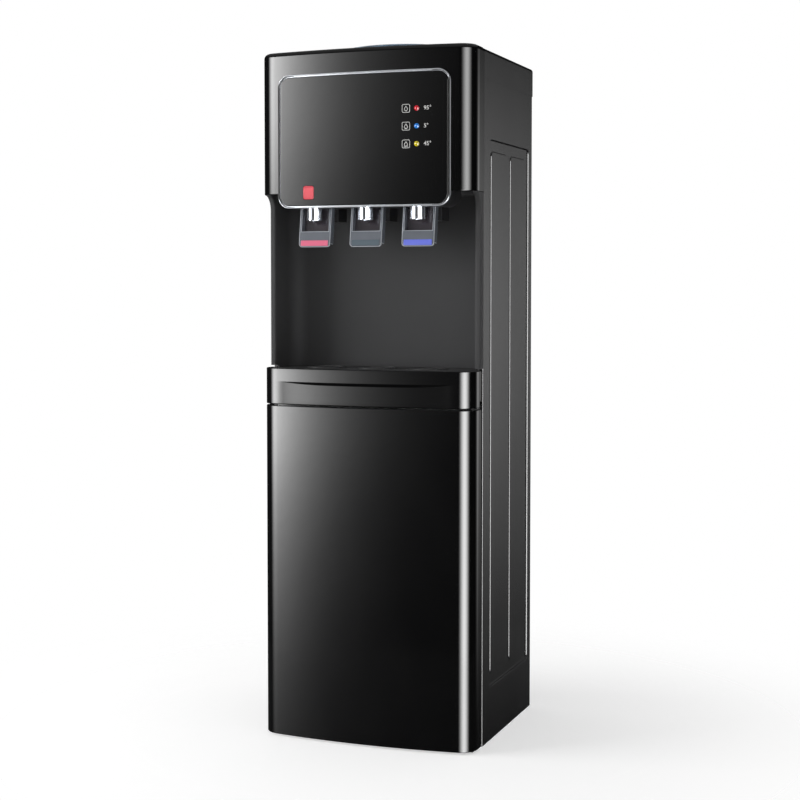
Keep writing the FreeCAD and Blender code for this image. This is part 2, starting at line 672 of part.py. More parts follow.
def control_panel():
    """The tap box, the plate that closes it, its bright frame, and what sits in the plate."""
    x, z0, z1, r = d.boxWidth / 2, d.boxBottom, d.boxTop, d.boxRound
    faceY, w = front - d.plateReach, d.frameWidth
    frameBack, boxBack = faceY + d.frameDepth, front - d.boxBackReach
    low, high = (-x, z0), (x, z1)
    ring = slab(low, high, r, faceY, frameBack, "frame_outer")
    hole = slab((-x + w, z0 + w), (x - w, z1 - w), r - w, faceY - w, frameBack + w, "frame_hole")
    keep(cut(ring, [hole]), "panel_frame")

    plateY = faceY + d.plateSunk
    plate = slab((-x + w, z0 + w), (x - w, z1 - w), r - w, plateY, plateY + d.plateThick, "plate")
    lamps = [(d.lampAcross, d.lampTop - d.lampPitch * n) for n in range(3)]
    span = (plateY - past, plateY + d.plateThick + past)
    tools = [rod("y", d.lampRadius, lx, span, lz) for lx, lz in lamps]
    bx, bz, g = -d.buttonAcross, d.buttonHeight, d.buttonGap
    bw, bt = d.buttonWidth / 2, d.buttonTall / 2
    tools.append(slab((bx - bw - g, bz - bt - g), (bx + bw + g, bz + bt + g), d.buttonRound + g,
                      span[0], span[1], "button_hole"))
    keep(cut(plate, tools), "control_panel")

    buttonY = plateY - d.buttonProud
    button = slab((bx - bw, bz - bt), (bx + bw, bz + bt), d.buttonRound, buttonY,
                  buttonY + d.buttonThick, "button")
    m = d.buttonRim
    dish = slab((bx - bw + m, bz - bt + m), (bx + bw - m, bz + bt - m), d.buttonRound - m / 2,
                buttonY - past, buttonY + d.buttonDish, "button_dish")
    keep(cut(button, [dish]), "child_lock_button")

    lenses = []
    for lx, lz in lamps:
        stub = rod("y", d.lampRadius, lx, (plateY, plateY + d.plateThick), lz)
        dome = doc.addObject("Part::Sphere", "lens_dome")
        sphere = (d.lampRadius * d.lampRadius + d.lensRise * d.lensRise) / (d.lensRise * 2)
        dome.setExpression("Radius", sphere.text)
        place(dome, lx, plateY - d.lensRise + sphere, lz)
        dome = cut(dome, [block((lx - sphere, lx + sphere), (plateY, plateY + sphere * 2),
                                (lz - sphere, lz + sphere))])
        lenses.append(join([stub, dome], "lens"))
    keep(group(lenses, "lenses"), "indicator_lenses")

    back = plateY + d.plateThick
    bulbs = [rod("y", d.lampBodyRadius, lx, (back, back + d.boardGap + d.boardThick), lz)
             for lx, lz in lamps]
    board = block((d.lampAcross - d.boardWidth / 2, d.lampAcross + d.boardWidth / 2),
                  (back + d.boardGap, back + d.boardGap + d.boardThick),
                  (d.lampTop - d.lampPitch * 2 - d.boardMargin, d.lampTop + d.boardMargin))
    keep(join([board] + bulbs), "indicator_board")

    outer = slab(low, high, r, frameBack, boxBack, "box_outer")
    t = d.boxWall
    inner = slab((-x + t, z0 + t), (x - t, z1 - t), r - t, frameBack - t, boxBack - t, "box_inner")
    tools = [inner]
    armOut, armIn = d.paddleWidth / 2, d.paddleWidth / 2 - d.armWidth
    for name, side in TAPS:
        at = tap_x(side)
        tools.append(rod("z", d.spoutRadius + d.holeGap, at, front - d.spoutReach, (z0 - t, z0 + t * 2)))
        tools.append(rod("y", d.spigotRadius, at, (boxBack - t * 2, boxBack + t), d.spigotHeight))
        tools.append(rod("y", d.pipeRadius, at, (boxBack - t * 2, boxBack + t), d.pipeHeight))
        for s in (-1, 1):
            span = sorted_pair(at + s * (armIn - d.slotSide), at + s * (armOut + d.slotSide))
            y, deep = front - d.pivotReach, d.armDepth / 2
            tools.append(block(span, (y - deep - d.slotFront, y + deep + d.slotBack), (z0 - t, z0 + t * 2)))
    keep(cut(outer, tools), "tap_box")


# Taps

def tap(name, side):
    at, spoutY = tap_x(side), front - d.spoutReach
    z0 = d.boxBottom
    valve = rod("z", d.valveRadius, at, spoutY, (z0 + d.boxWall, d.valveTop))
    lower = block((at - d.blockHalf, at + d.blockHalf), (front - d.blockReach, front + d.blockDepth),
                  (d.blockBottom, z0))
    upper = block((at - d.blockHalf, at + d.blockHalf), (front - d.boxBackReach, front + d.blockDepth),
                  (z0, d.blockTop))
    hub = block((at - d.hubHalf, at + d.hubHalf), (spoutY, front - d.hubBackReach),
                (d.hubBottom, d.hubTop))
    spigot = rod("y", d.spigotRadius, at, (front - d.hubBackReach - past, front), d.spigotHeight)
    pipe = rod("y", d.pipeRadius, at, (spoutY, front + d.pipeDepth), d.pipeHeight)
    reach = d.paddleWidth / 2 + d.pinEnd
    pin = rod("x", d.pivotRadius, (at - reach, at + reach), front - d.pivotReach, d.pivotHeight)
    solid = join([valve, lower, upper, hub, spigot, pipe, pin])
    bores = join([
        rod("z", d.spoutRadius, at, spoutY, (z0, d.spoutTop)),
        rod("z", d.chamberRadius, at, spoutY, (d.spoutTop - past, d.chamberTop)),
        rod("z", d.stemRadius + d.stemGap, at, spoutY, (d.chamberTop - past, d.valveTop + past)),
        rod("y", d.pipeBore, at, (spoutY, front + d.pipeDepth + past), d.pipeHeight),
    ])
    keep(cut(solid, [bores]), f"{name}_tap_body")
    spout = rod("z", d.spoutRadius, at, spoutY, (d.spoutBottom, d.spoutTop))
    bore = rod("z", d.spoutBore, at, spoutY, (d.spoutBottom - past, d.spoutTop + past))
    keep(cut(spout, [bore]), f"{name}_spout")
    low = d.spoutTop + d.stemRest
    stem = rod("z", d.stemRadius, at, spoutY, (low, d.stemTop))
    seal = rod("z", d.sealRadius, at, spoutY, (low, low + d.sealThick))
    keep(join([stem, seal]), f"{name}_valve_stem")


def paddle(name, side):
    """A clear paddle: two arms on the pin, a pad at the foot and a web in the window above it."""
    out, wide, deep = d.paddleWidth / 2, d.armWidth, d.armDepth / 2
    drop, window = d.paddleDrop, d.windowDrop
    at = (tap_x(side), front - d.pivotReach, d.pivotHeight)
    turn = Rotation(Vector(1, 0, 0), -float(d.paddleAngle))
    foot = [
        (-out + d.paddleChamfer, -drop), (out - d.paddleChamfer, -drop), (out, -drop + d.paddleChamfer),
        (out, -window), (-out, -window), (-out, -drop + d.paddleChamfer),
    ]
    pieces = [prism("xz", foot, deep - d.padThick, deep, "pad_front")]
    for s in (-1, 1):
        span = sorted_pair(s * (out - wide), s * out)
        pieces.append(block(span, (-deep, deep), (-drop + d.paddleChamfer, 0)))
        pieces.append(rod("x", deep, span, 0, 0))
    pieces.append(block((-out, out), (-deep, deep), (-window - d.padThick, -window)))
    webBack = deep - (d.padThick - d.webThick)
    pieces.append(block((-out, out), (webBack - d.webThick, webBack), (-window - d.padThick, -d.webDrop)))
    solid = join(pieces)
    hole = rod("x", d.pivotRadius + d.pivotGap, (-out - past, out + past), 0, 0)
    insertLow = -drop + d.insertRise
    pocket = block((-d.insertWidth / 2, d.insertWidth / 2), (-deep - past, -deep + d.insertDepth),
                   (insertLow, insertLow + d.insertTall))
    solid = cut(solid, [hole, pocket], "paddle")
    place(solid, *at, turn)
    keep(solid, f"{name}_paddle")
    insert = block((-d.insertWidth / 2, d.insertWidth / 2), (-deep - d.insertProud, -deep + d.insertDepth),
                   (insertLow, insertLow + d.insertTall))
    proud = -float(deep + d.insertProud) + 0.01
    insert = rounded(insert, d.insertRound, lambda e: e.CenterOfMass.y < proud)
    place(insert, *at, turn)
    keep(insert, f"{name}_paddle_insert")


# Drip drawer and grille

def basin_corner():
    """The basin's rear corners run round the bay's own corners at an even distance."""
    return d.bayRound - d.bayWall - d.basinInset


def rear_rounded(solid, radius):
    """Rounds the two upright edges at the back of a block."""
    doc.recompute()
    back = solid.Shape.BoundBox.YMax
    return rounded(solid, radius, lambda e: along(e, Vector(0, 0, 1)) and e.CenterOfMass.y > back - 0.01)


def drip_drawer():
    """The bowed ledge with its finger recess, and the basin behind it."""
    wide, z0, z1, t = frontHalf, d.drawerBottom, d.drawerTop, d.shellWall
    back = front - d.drawerBackReach
    skin = prism("xy", channel(wide, d.bowReach, back, t), z0, z1, "drawer_skin")
    deck = prism("xy", bulge(wide, d.bowReach, back), z1 - d.deckThick, z1, "drawer_deck")
    bx, by0, by1 = basinHalf, front - d.basinReach, front + d.basinDepth
    basin = rear_rounded(block((-bx, bx), (by0, by1), (d.basinFloor, z1)), basin_corner())
    gripX, gripY = d.gripWidth / 2, front - d.bowReach + d.gripDepth
    behind = doc.addObject("Part::Common", "grip_wall")
    behind.Base = prism("xy", bulge(wide, d.bowReach, back), z0, d.gripTop + t, "grip_limit")
    behind.Tool = block((-gripX - t, gripX + t), (gripY - d.bowReach, gripY + t), (z0, d.gripTop + t))
    w = d.basinWall
    hollow = block((-bx + w, bx - w), (by0 + w, by1 - w), (d.basinFloor + w, z1 + past))
    hollow = rear_rounded(hollow, basin_corner() - w)
    grip = block((-gripX, gripX), (gripY - d.bowReach, gripY), (z0 - past, d.gripTop))
    keep(cut(join([skin, deck, basin, behind]), [hollow, grip]), "drip_drawer")


def drip_grille():
    """A plate that lies on the basin's rim on a lip, with a ring of holes under each tap."""
    w, g, lip = d.basinWall, d.grilleGap, d.grilleRim
    wide = basinHalf - w - g
    y0, y1 = front - d.basinReach + w + g, front + d.basinDepth - w - g
    top = d.drawerTop + g
    corner = basin_corner() - w - g
    plate = rear_rounded(block((-wide, wide), (y0, y1), (top - d.grilleThick, top)), corner)
    legs = [block(sorted_pair(s * wide, s * (wide - lip)), (y0, y1 - corner),
                  (d.basinFloor + w + g, top - d.grilleThick)) for s in (-1, 1)]
    middle = (y0 + y1) / 2
    span = (top - d.grilleThick - past, top + past)
    tools = []
    for _, side in TAPS:
        at = tap_x(side)
        tools.append(rod("z", d.centreHole, at, middle, span))
        for ring, hole, count in ((d.innerRing, d.innerHole, d.innerCount),
                                  (d.outerRing, d.outerHole, d.outerCount)):
            for n in range(whole(count)):
                angle = 2 * math.pi * n / whole(count)
                x, y = at + ring * math.cos(angle), middle + ring * math.sin(angle)
                tools.append(rod("z", hole, x, y, span))
    count, reach = whole(d.sideSlotCount), d.sideSlotLength / 2
    for s in (-1, 1):
        for column in range(count):
            x = s * (d.tapPitch / 2) + d.sideSlotPitch * (column - (count - 1) / 2)
            tools.append(block((x - d.sideSlot / 2, x + d.sideSlot / 2),
                               (middle - reach, middle + reach), span))
    keep(cut(join([plate] + legs), tools), "drip_grille")


# Door

def hinge_spot():
    return frontHalf - d.hingeInset, front - d.hingeReach


def door():
    wide, z0, z1, t = frontHalf, d.doorBottom, d.doorTop, d.shellWall
    back = front - d.doorBackReach
    skin = prism("xy", channel(wide, d.bowReach, back, t), z0, z1, "door_wall")
    foot = prism("xy", bulge(wide, d.bowReach, back), z0, z0 + t, "door_foot")
    head = prism("xy", bulge(wide, d.bowReach, back), z1 - t, z1, "door_head")
    hx, hy = hinge_spot()
    pin = rod("z", d.hingePin + d.hingeGap, hx, hy, (z0 - t, z1 + t))
    keep(cut(join([skin, foot, head]), [pin]), "door_skin")
    liner = block((-wide + t, wide - t), (back - d.linerThick, back), (z0 + t, z1 - t))
    keep(liner, "door_liner")
    gx, w = frontHalf - d.gasketInset, d.gasketWidth
    outer = block((-gx, gx), (back, front - d.gasketGap), (d.gasketBottom, d.gasketTop))
    inner = block((-gx + w, gx - w), (back - past, front + past), (d.gasketBottom + w, d.gasketTop - w))
    keep(cut(outer, [inner]), "door_gasket")


def hinge_brackets():
    """Two folded plates on the cabinet, each with the pin that the door turns on."""
    hx, hy = hinge_spot()
    x0, x1, t = hx - d.bracketWidth / 2, linerFlangeHalf, d.bracketThick
    low = block((x0, x1), (hy - d.bracketWidth / 2, front + d.bracketWidth / 2),
                (d.footHeight - t, d.footHeight))
    low = join([low, rod("z", d.hingePin, hx, hy, (d.footHeight - t, d.lowerPinTop))], "low_bracket")
    z = d.upperBracket
    high = block((x0, x1), (hy - d.bracketWidth / 2, front), (z, z + t))
    leg = block((x0, x1), (front - t, front), (z, d.flangeTop))
    high = join([high, leg, rod("z", d.hingePin, hx, hy, (d.upperPinBottom, z + t))], "high_bracket")
    keep(group([low, high], "brackets"), "hinge_brackets")


# Storage

def storage():
    x, t, ft = panelInner - d.linerInset, d.linerWall, d.linerFlange
    z0, z1 = d.linerBottom, d.linerTop
    low = block((-x, x), (front, front + d.linerLowDepth), (z0, z1))
    high = block((-x, x), (front, front + d.linerHighDepth), (d.linerStep, z1))
    flange = block((-linerFlangeHalf, linerFlangeHalf), (front, front + ft),
                   (d.flangeBottom, d.flangeTop))
    hollows = join([
        block((-x + t, x - t), (front - past, front + d.linerLowDepth - t), (z0 + t, z1 - t)),
        block((-x + t, x - t), (front - past, front + d.linerHighDepth - t), (d.linerStep + t, z1 - t)),
    ])
    shell = cut(join([low, high, flange]), [hollows])
    y0, y1 = front + d.shelfFront, front + d.linerHighDepth - t
    ribs = [block(sorted_pair(s * (x - t), s * (x - t - d.ribReach)), (y0, y1),
                  (d.shelfHeight - d.ribThick, d.shelfHeight)) for s in (-1, 1)]
    keep(join([shell] + ribs), "storage_liner")
    g = d.shelfGap
    sx = x - t - g
    shelf = block((-sx, sx), (y0, y1 - g), (d.shelfHeight, d.shelfHeight + d.shelfThick))
    count = whole(d.shelfSlotCount)
    slots = []
    for n in range(count):
        at = d.shelfSlotPitch * (n - (count - 1) / 2)
        slots.append(block((at - d.shelfSlotWidth / 2, at + d.shelfSlotWidth / 2),
                           (y0 + d.shelfRim, y1 - d.shelfRim),
                           (d.shelfHeight - past, d.shelfHeight + d.shelfThick + past)))
    keep(cut(shelf, slots), "storage_shelf")


# Bottle seat

def bottle_seat():
    seatY, t = front + d.seatDepth, d.seatWall
    top, rest, well, floor = d.coverTop + d.seatRise, d.coverTop, d.wellRadius, d.wellFloor
    foot = top - d.funnelDepth
    r, edge = d.seatRadius, d.seatRound
    corners = [
        (d.probeRadius, floor - t), (well + t, floor - t), (well + t, foot - t),
        (d.seatSkirt, rest - t), (d.seatSkirt, rest), (r, rest),
        (r, top - edge, edge, (r - edge, top - edge)),
        (r - edge, top), (r - edge * 2, top), (r - edge * 2 - t, top - edge), (well, foot),
        (well, floor), (d.probeRadius, floor),
    ]
    keep(turned(corners, 0, seatY, "seat"), "bottle_seat")
    tubeBody = rod("z", d.probeRadius, 0, seatY, (d.probeBottom, d.probeTop))
    bore = rod("z", d.probeBore, 0, seatY, (d.probeBottom - past, d.probeTop - d.probeBore))
    port = rod("x", d.probeBore / 2, (-d.probeRadius - past, d.probeRadius + past), seatY,
               foot - d.probeRadius)
    tubeBody = rounded(tubeBody, d.probeBore / 2,
                       lambda e: e.CenterOfMass.z > float(d.probeTop) - 0.01 and e.Closed)
    keep(cut(tubeBody, [join([bore, port])]), "bottle_probe")


# Tanks

def cold_ports():
    """The ways through the cold tank's foam: (axis, radius, x, y, z)."""
    far = d.foamRadius + past
    coilStep = d.coilStart + d.coilPitch
    return [
        ("x", d.stubRadius + d.holeGap, (0, far), tankY, d.coldStubHeight),
        ("y", d.stubRadius + d.holeGap, 0, (tankY - far, tankY), d.warmStubHeight),
        ("y", d.drainRadius + d.holeGap, 0, (tankY, tankY + far), d.coldDrainHeight),
        ("x", d.lineRadius + d.holeGap, (0, far), tankY, coilStep),
        ("x", d.capillaryRadius + d.holeGap, (0, far), tankY, coilStep + d.coilPitch),
    ]


def tank(radius, z0, z1, closed):
    outer = rod("z", radius, 0, tankY, (z0, z1))
    t = d.tankWall
    inner = rod("z", radius - t, 0, tankY, (z0 + t, z1 - t if closed else z1 + t))
    return outer, inner


def foam(bore, radius, z0, floor, z1, ports, node):
    """A thick cup round a tank, with the ways its pipes need."""
    outer = rod("z", radius, 0, tankY, (z0, z1))
    inner = rod("z", bore, 0, tankY, (floor, z1 + past))
    tools = [rod(axis, r, x, y, z) for axis, r, x, y, z in ports]
    keep(cut(outer, [join([inner] + tools)]), node)


def tanks():
    t = d.tankWall
    r = d.coldRadius
    outer, inner = tank(r, d.coldBottom, d.coldTop, False)
    cold = rod("x", d.stubRadius, (r - t, d.coldStubEnd), tankY, d.coldStubHeight)
    warm = rod("y", d.stubRadius, 0, (front + d.warmStubDepth, tankY - r + t), d.warmStubHeight)
    keep(cut(join([outer, cold, warm]), [inner]), "cold_tank")
    lid = rod("z", d.foamBore - d.holeGap, 0, tankY, (d.coldTop, d.coldTop + d.lidThick))
    probe = rod("z", d.probeRadius + d.holeGap, 0, front + d.seatDepth,
                (d.coldTop - past, d.coldTop + d.lidThick + past))
    keep(cut(lid, [probe]), "cold_tank_lid")
    low, high = deck_heights()
    link = ("z", d.linkRadius + d.holeGap, 0, tankY, (high, d.coldBottom + past))
    foam(d.foamBore, d.foamRadius, high + d.deckSheet, d.coldBottom, d.coldTop, cold_ports() + [link],
         "cold_tank_foam")

    r = d.hotRadius
    outer, inner = tank(r, d.hotBottom, d.hotTop, True)
    hot = rod("x", d.stubRadius, (-d.hotStubEnd, -r + t), tankY, d.hotStubHeight)
    feed = rod("z", d.linkRadius, 0, tankY, (d.hotTop - t / 2, d.coldBottom))
    keep(cut(join([outer, hot, feed]), [inner]), "hot_tank")
    far = d.hotFoamRadius + past
    ports = [
        ("x", d.stubRadius + d.holeGap, (-far, 0), tankY, d.hotStubHeight),
        ("y", d.drainRadius + d.holeGap, 0, (tankY, tankY + far), d.hotDrainHeight),
    ]
    foam(r + d.hotFoamGap, d.hotFoamRadius, low + d.deckSheet, d.hotBottom, d.hotTop + d.thermostatTall,
         ports, "hot_tank_foam")
    discs = [rod("z", d.thermostatRadius, s * (r / 2), tankY, (d.hotTop, d.hotTop + d.thermostatTall))
             for s in (-1, 1)]
    keep(group(discs, "thermostats"), "thermostats")


def decks():
    """Two sheet shelves with a rear flange, fixed to the back panel."""
    x, y0, y1, t = panelInner - d.fieldSunk, bayBack, backPlane, d.deckSheet
    made = []
    for number, z in enumerate(deck_heights()):
        plate = block((-x, x), (y0, y1), (z, z + t))
        flange = block((-x + d.backFlange, x - d.backFlange), (y1 - t, y1), (z - d.deckFlange, z))
        lines = [(suctionX, d.lineRadius), (capillaryX, d.capillaryRadius)]
        span = (z - t, z + t * 2)
        tools = [rod("z", r + d.holeGap, at, front + d.suctionDepth, span) for at, r in lines]
        if number:
            tools.append(rod("z", d.linkRadius + d.holeGap, 0, tankY, span))
            tools.append(rod("z", d.hoseRadius + d.holeGap, -hoseX, tankY, span))
        tools += [rod("y", d.screwShank, sx, (y1 - t * 2, y1 + t), sz) for sx, sz in screw_spots()]
        made.append(cut(join([plate, flange]), tools, "deck"))
    keep(group(made, "decks"), "tank_decks")


def evaporator():
    """The tube wound round the cold tank, in quarter turns."""
    mean, pitch = float(d.coilMean), float(d.coilPitch)
    quarters = whole(d.coilTurns) * 4

    def at(turns):
        angle = 2 * math.pi * turns
        return Vector(mean * math.cos(angle), mean * math.sin(angle), pitch * turns)

    edges = [Part.Arc(at(n / 4), at((n + 0.5) / 4), at((n + 1) / 4)).toShape() for n in range(quarters)]
    path = Part.Wire(edges)
    ring = Part.Wire([Part.Circle(at(0), edges[0].tangentAt(edges[0].FirstParameter),
                                  float(d.coilRadius)).toShape()])
    coil = path.makePipeShell([ring], True, False)
    keep(formed(coil, "coil", (0, tankY, d.coilStart)), "evaporator_coil")
    print("coil gap between turns", round(pitch - 2 * float(d.coilRadius), 2))


# Refrigeration

def compressor():
    y, r, dome = compressorY, d.compressorRadius, d.compressorDome
    z0, z1 = d.compressorBottom, d.compressorTop
    corners = [
        (0, z0), (r - dome, z0, dome, (r - dome, z0 + dome)), (r, z0 + dome),
        (r, z1 - dome, dome, (r - dome, z1 - dome)), (r - dome, z1), (0, z1),
    ]
    body = turned(corners, 0, y, "compressor_body")
    p, a = d.plateHalf, d.mountAcross
    plate = block((-p, p), (y - p, y + p), (z0, z0 + d.plateSheet))
    spots = [(sx * a, y + sy * a) for sx in (-1, 1) for sy in (-1, 1)]
    span = (z0 - past, z0 + d.plateSheet + past)
    holes = [rod("z", d.mountStud + d.holeGap, mx, my, span) for mx, my in spots]
    keep(cut(join([body, plate]), holes), "compressor")
    floor = panelBottom + d.panWall
    mounts = []
    for mx, my in spots:
        rubber = rod("z", d.mountRadius, mx, my, (floor, z0))
        stud = rod("z", d.mountStud, mx, my, (floor, d.studTop))
        mounts.append(join([rubber, stud], "mount"))
    keep(group(mounts, "mounts"), "compressor_mounts")


def condenser():
    """A tube bent to and fro, with upright wires on both its sides, held by four clips."""
    y, pitch, wide = front + d.condenserDepth, d.condenserPitch, condenserHalf
    points = []
    for n in range(whole(d.condenserRuns)):
        ends = (-wide, wide) if n % 2 == 0 else (wide, -wide)
        points += [(x, y, d.condenserBottom + pitch * n) for x in ends]
    run = formed(tube(points, d.condenserTube, pitch / 2), "condenser_tube")
    top = d.condenserBottom + pitch * (whole(d.condenserRuns) - 1)
    count = whole(d.wireCount)
    wires = []
    for n in range(count):
        x = -d.wireSpan + d.wireSpan * (2 * n / (count - 1))
        for s in (-1, 1):
            away = y + s * (d.condenserTube + d.wireRadius)
            span = (d.condenserBottom - d.wireOverhang, top + d.wireOverhang)
            wires.append(rod("z", d.wireRadius, x, away, span))
    clips = []
    c = d.clipSize / 2
    for s in (-1, 1):
        for z in (d.condenserBottom, top):
            span = sorted_pair(s * (d.wireSpan + d.wireRadius * 2), s * (d.wireSpan + c * 2))
            clips.append(block(span, (backPlane + d.sheet, y - d.condenserTube), (z - c, z + c)))
    keep(group([run] + wires + clips, "condenser"), "condenser")
    return top


def refrigerant_lines(condenserTop):
    """Copper lines: compressor to condenser, condenser to drier, drier to coil, and coil to compressor."""
    y, yc, r = front + d.condenserDepth, compressorY, d.compressorRadius
    riser, drier = -dischargeX, -drierX
    discharge = [(-r, yc, d.dischargeHeight), (riser, yc, d.dischargeHeight), (riser, y, d.dischargeHeight),
                 (riser, y, condenserTop), (-condenserHalf, y, condenserTop)]
    outlet = [(-condenserHalf, y, d.condenserBottom), (drier, y, d.condenserBottom),
              (drier, y, d.drierTop)]
    sx, sy = suctionX, front + d.suctionDepth
    step = d.coilStart + d.coilPitch
    meet = d.coilMean + d.coilRadius
    suction = [(r, yc, d.suctionHeight), (sx, yc, d.suctionHeight), (sx, sy, d.suctionHeight), (sx, sy, step),
               (sx, tankY, step), (meet, tankY, step)]
    low = d.drierTop - d.drierLength
    cx, turn, higher = capillaryX, low - d.capillaryDrop, step + d.coilPitch
    capillary = [(drier, y, low), (drier, y, turn), (cx, y, turn), (cx, sy, turn), (cx, sy, higher),
                 (cx, tankY, higher), (meet, tankY, higher)]
    made = [formed(tube(points, radius, bend), "line") for points, radius, bend in (
        (discharge, d.condenserTube, d.lineBend), (outlet, d.condenserTube, d.lineBend),
        (suction, d.lineRadius, d.lineBend), (capillary, d.capillaryRadius, d.capillaryBend))]
    made.append(rod("z", d.drierRadius, drier, y, (low, d.drierTop), "filter_drier"))
    keep(group(made, "lines"), "refrigerant_lines")


# Hoses and drains

def hoses():
    pipe, back = front + d.pipeDepth, front + d.hoseDepth
    runs = []
    for name, side in TAPS:
        at, z = tap_x(side), d.pipeHeight
        if side:
            out = side * hoseX
            stub = side * (d.hotStubEnd if side < 0 else d.coldStubEnd)
            level = d.hotStubHeight if side < 0 else d.coldStubHeight
            points = [(at, pipe, z), (at, back, z), (out, back, z), (out, tankY, z), (out, tankY, level),
                      (stub, tankY, level)]
        else:
            up = front + d.warmHoseDepth
            points = [(at, pipe, z), (at, up, z), (at, up, d.warmStubHeight),
                      (at, front + d.warmStubDepth, d.warmStubHeight)]
        runs.append(formed(tube(points, d.hoseRadius, d.hoseBend), f"{name}_hose"))
    keep(group(runs, "hoses"), "water_hoses")


def drain_outlets():
    pipes = []
    for name, (x, z) in drains().items():
        r = d.hotRadius if name == "hot" else d.coldRadius
        pipe = rod("y", d.drainRadius, x, (tankY, front + d.drainDepth), z)
        wall = rod("z", r, x, tankY, (z - d.capRadius, z + d.capRadius))
        pipes.append(cut(pipe, [wall], f"{name}_drain"))
        end = front + d.drainDepth
        start = end - d.capCover
        cap = rod("y", d.capRadius, x, (start, start + d.capLength), z)
        bore = rod("y", d.drainRadius + d.capGap, x, (start - past, end), z)
        flutes = []
        for n in range(whole(d.capFlutes)):
            angle = 2 * math.pi * n / whole(d.capFlutes)
            flutes.append(rod("y", d.capFlute, x + d.capRadius * math.cos(angle),
                              (start - past, start + d.capLength + past), z + d.capRadius * math.sin(angle)))
        keep(cut(cut(cap, [bore]), flutes), f"{name}_drain_cap")
    keep(group(pipes, "drains"), "drain_pipes")


# Switches and cable gland

def switches():
    x, z, face = switchX, d.switchHeight, backPlane + d.sheet
    across, tall = switch_body()
    m, depth, wall = d.bezelMargin - d.switchWall, d.switchBody, d.switchWall
    body = block((x - across, x + across), (face - depth, face), (z - tall, z + tall))
    rim = block((x - across - m, x + across + m), (face, face + d.bezelThick), (z - tall - m, z + tall + m))
    pivotY = face - depth + wall + d.rockerPivot
    cavities = []
    for s in (-1, 1):
        at = x + s * d.switchPitch / 2
        reach = d.switchHalf + d.rockerGap
        cavities.append(block((at - reach, at + reach), (face - depth + wall, face + d.bezelThick + past),
                              (z - d.switchTall - d.switchPlay, z + d.switchTall + d.switchPlay)))
    pin = rod("x", d.stemRadius, (x - across + wall / 2, x + across - wall / 2), pivotY, z)
    keep(join([cut(join([body, rim]), cavities), pin]), "switch_bezel")
    back, faceOut, high = d.rockerBack, d.rockerFace, d.switchTall
    waist, shoulder = d.rockerWaist, d.rockerShoulder
    outline = [(-back, -waist), (-back, waist), (shoulder, high), (faceOut, high),
               (faceOut - d.rockerDip, 0), (faceOut, -high), (shoulder, -high)]
    for name, s in (("hot", 1), ("cold", -1)):
        rocker = prism("yz", outline, -d.switchHalf, d.switchHalf, "rocker")
        hole = rod("x", d.stemRadius + d.stemGap, (-d.switchHalf - past, d.switchHalf + past), 0, 0)
        rocker = cut(rocker, [hole], "rocker_cut")
        tilt = Rotation(Vector(1, 0, 0), float(d.rockerAngle))
        place(rocker, x + s * d.switchPitch / 2, pivotY, z, tilt)
        keep(rocker, f"{name}_switch")


def cable_gland():
    x, z, face = glandX, d.glandHeight, backPlane
    nut = rod("y", d.glandFlange, x, (face - d.bezelThick, face), z)
    shank = rod("y", d.glandRadius, x, (face - d.bezelThick, face + d.sheet), z)
    flange = rod("y", d.glandFlange, x, (face + d.sheet, face + d.sheet + d.bezelThick), z)
    nose = rod("y", d.glandNose, x, (face, face + d.glandNoseLength), z)
    bore = rod("y", d.glandBore, x, (face - d.bezelThick - past, face + d.glandNoseLength + past), z)
    keep(cut(join([nut, shank, flange, nose]), [bore]), "cable_gland")


def check_and_write():
    doc.recompute()
    faults = [f"{thing.Name} ({thing.Label}): {', '.join(thing.State)}" for thing in doc.Objects
              if "Invalid" in thing.State or "Error" in thing.State]
    for thing in SUBPARTS:
        if thing.Shape.isNull() or not thing.Shape.isValid() or not thing.Shape.Solids:
            faults.append(f"{thing.Label}: its shape is not a valid solid")
    if faults:
        raise SystemExit("\n".join(faults))
    os.makedirs("parts", exist_ok=True)
    for thing in SUBPARTS:
        thing.Shape.exportStep(f"parts/{thing.Label}.step")
        box = thing.Shape.BoundBox
        print(f"{thing.Label}: {len(thing.Shape.Solids)} solids, "
              f"{box.XMin:.1f} {box.YMin:.1f} {box.ZMin:.1f} to {box.XMax:.1f} {box.YMax:.1f} {box.ZMax:.1f}")
    print(len(SUBPARTS), "sub-parts written")


side_panels()
base()
back_panel()
top_cover()
head_housing()
bay_shell()
control_panel()
for tapName, tapSide in TAPS:
    tap(tapName, tapSide)
    paddle(tapName, tapSide)
drip_drawer()
drip_grille()
door()
hinge_brackets()
storage()
bottle_seat()
tanks()
decks()
evaporator()
compressor()
refrigerant_lines(condenser())
hoses()
drain_outlets()
switches()
cable_gland()
check_and_write()
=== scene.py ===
import json
import math

import bmesh
import bpy
from mathutils import Matrix, Vector


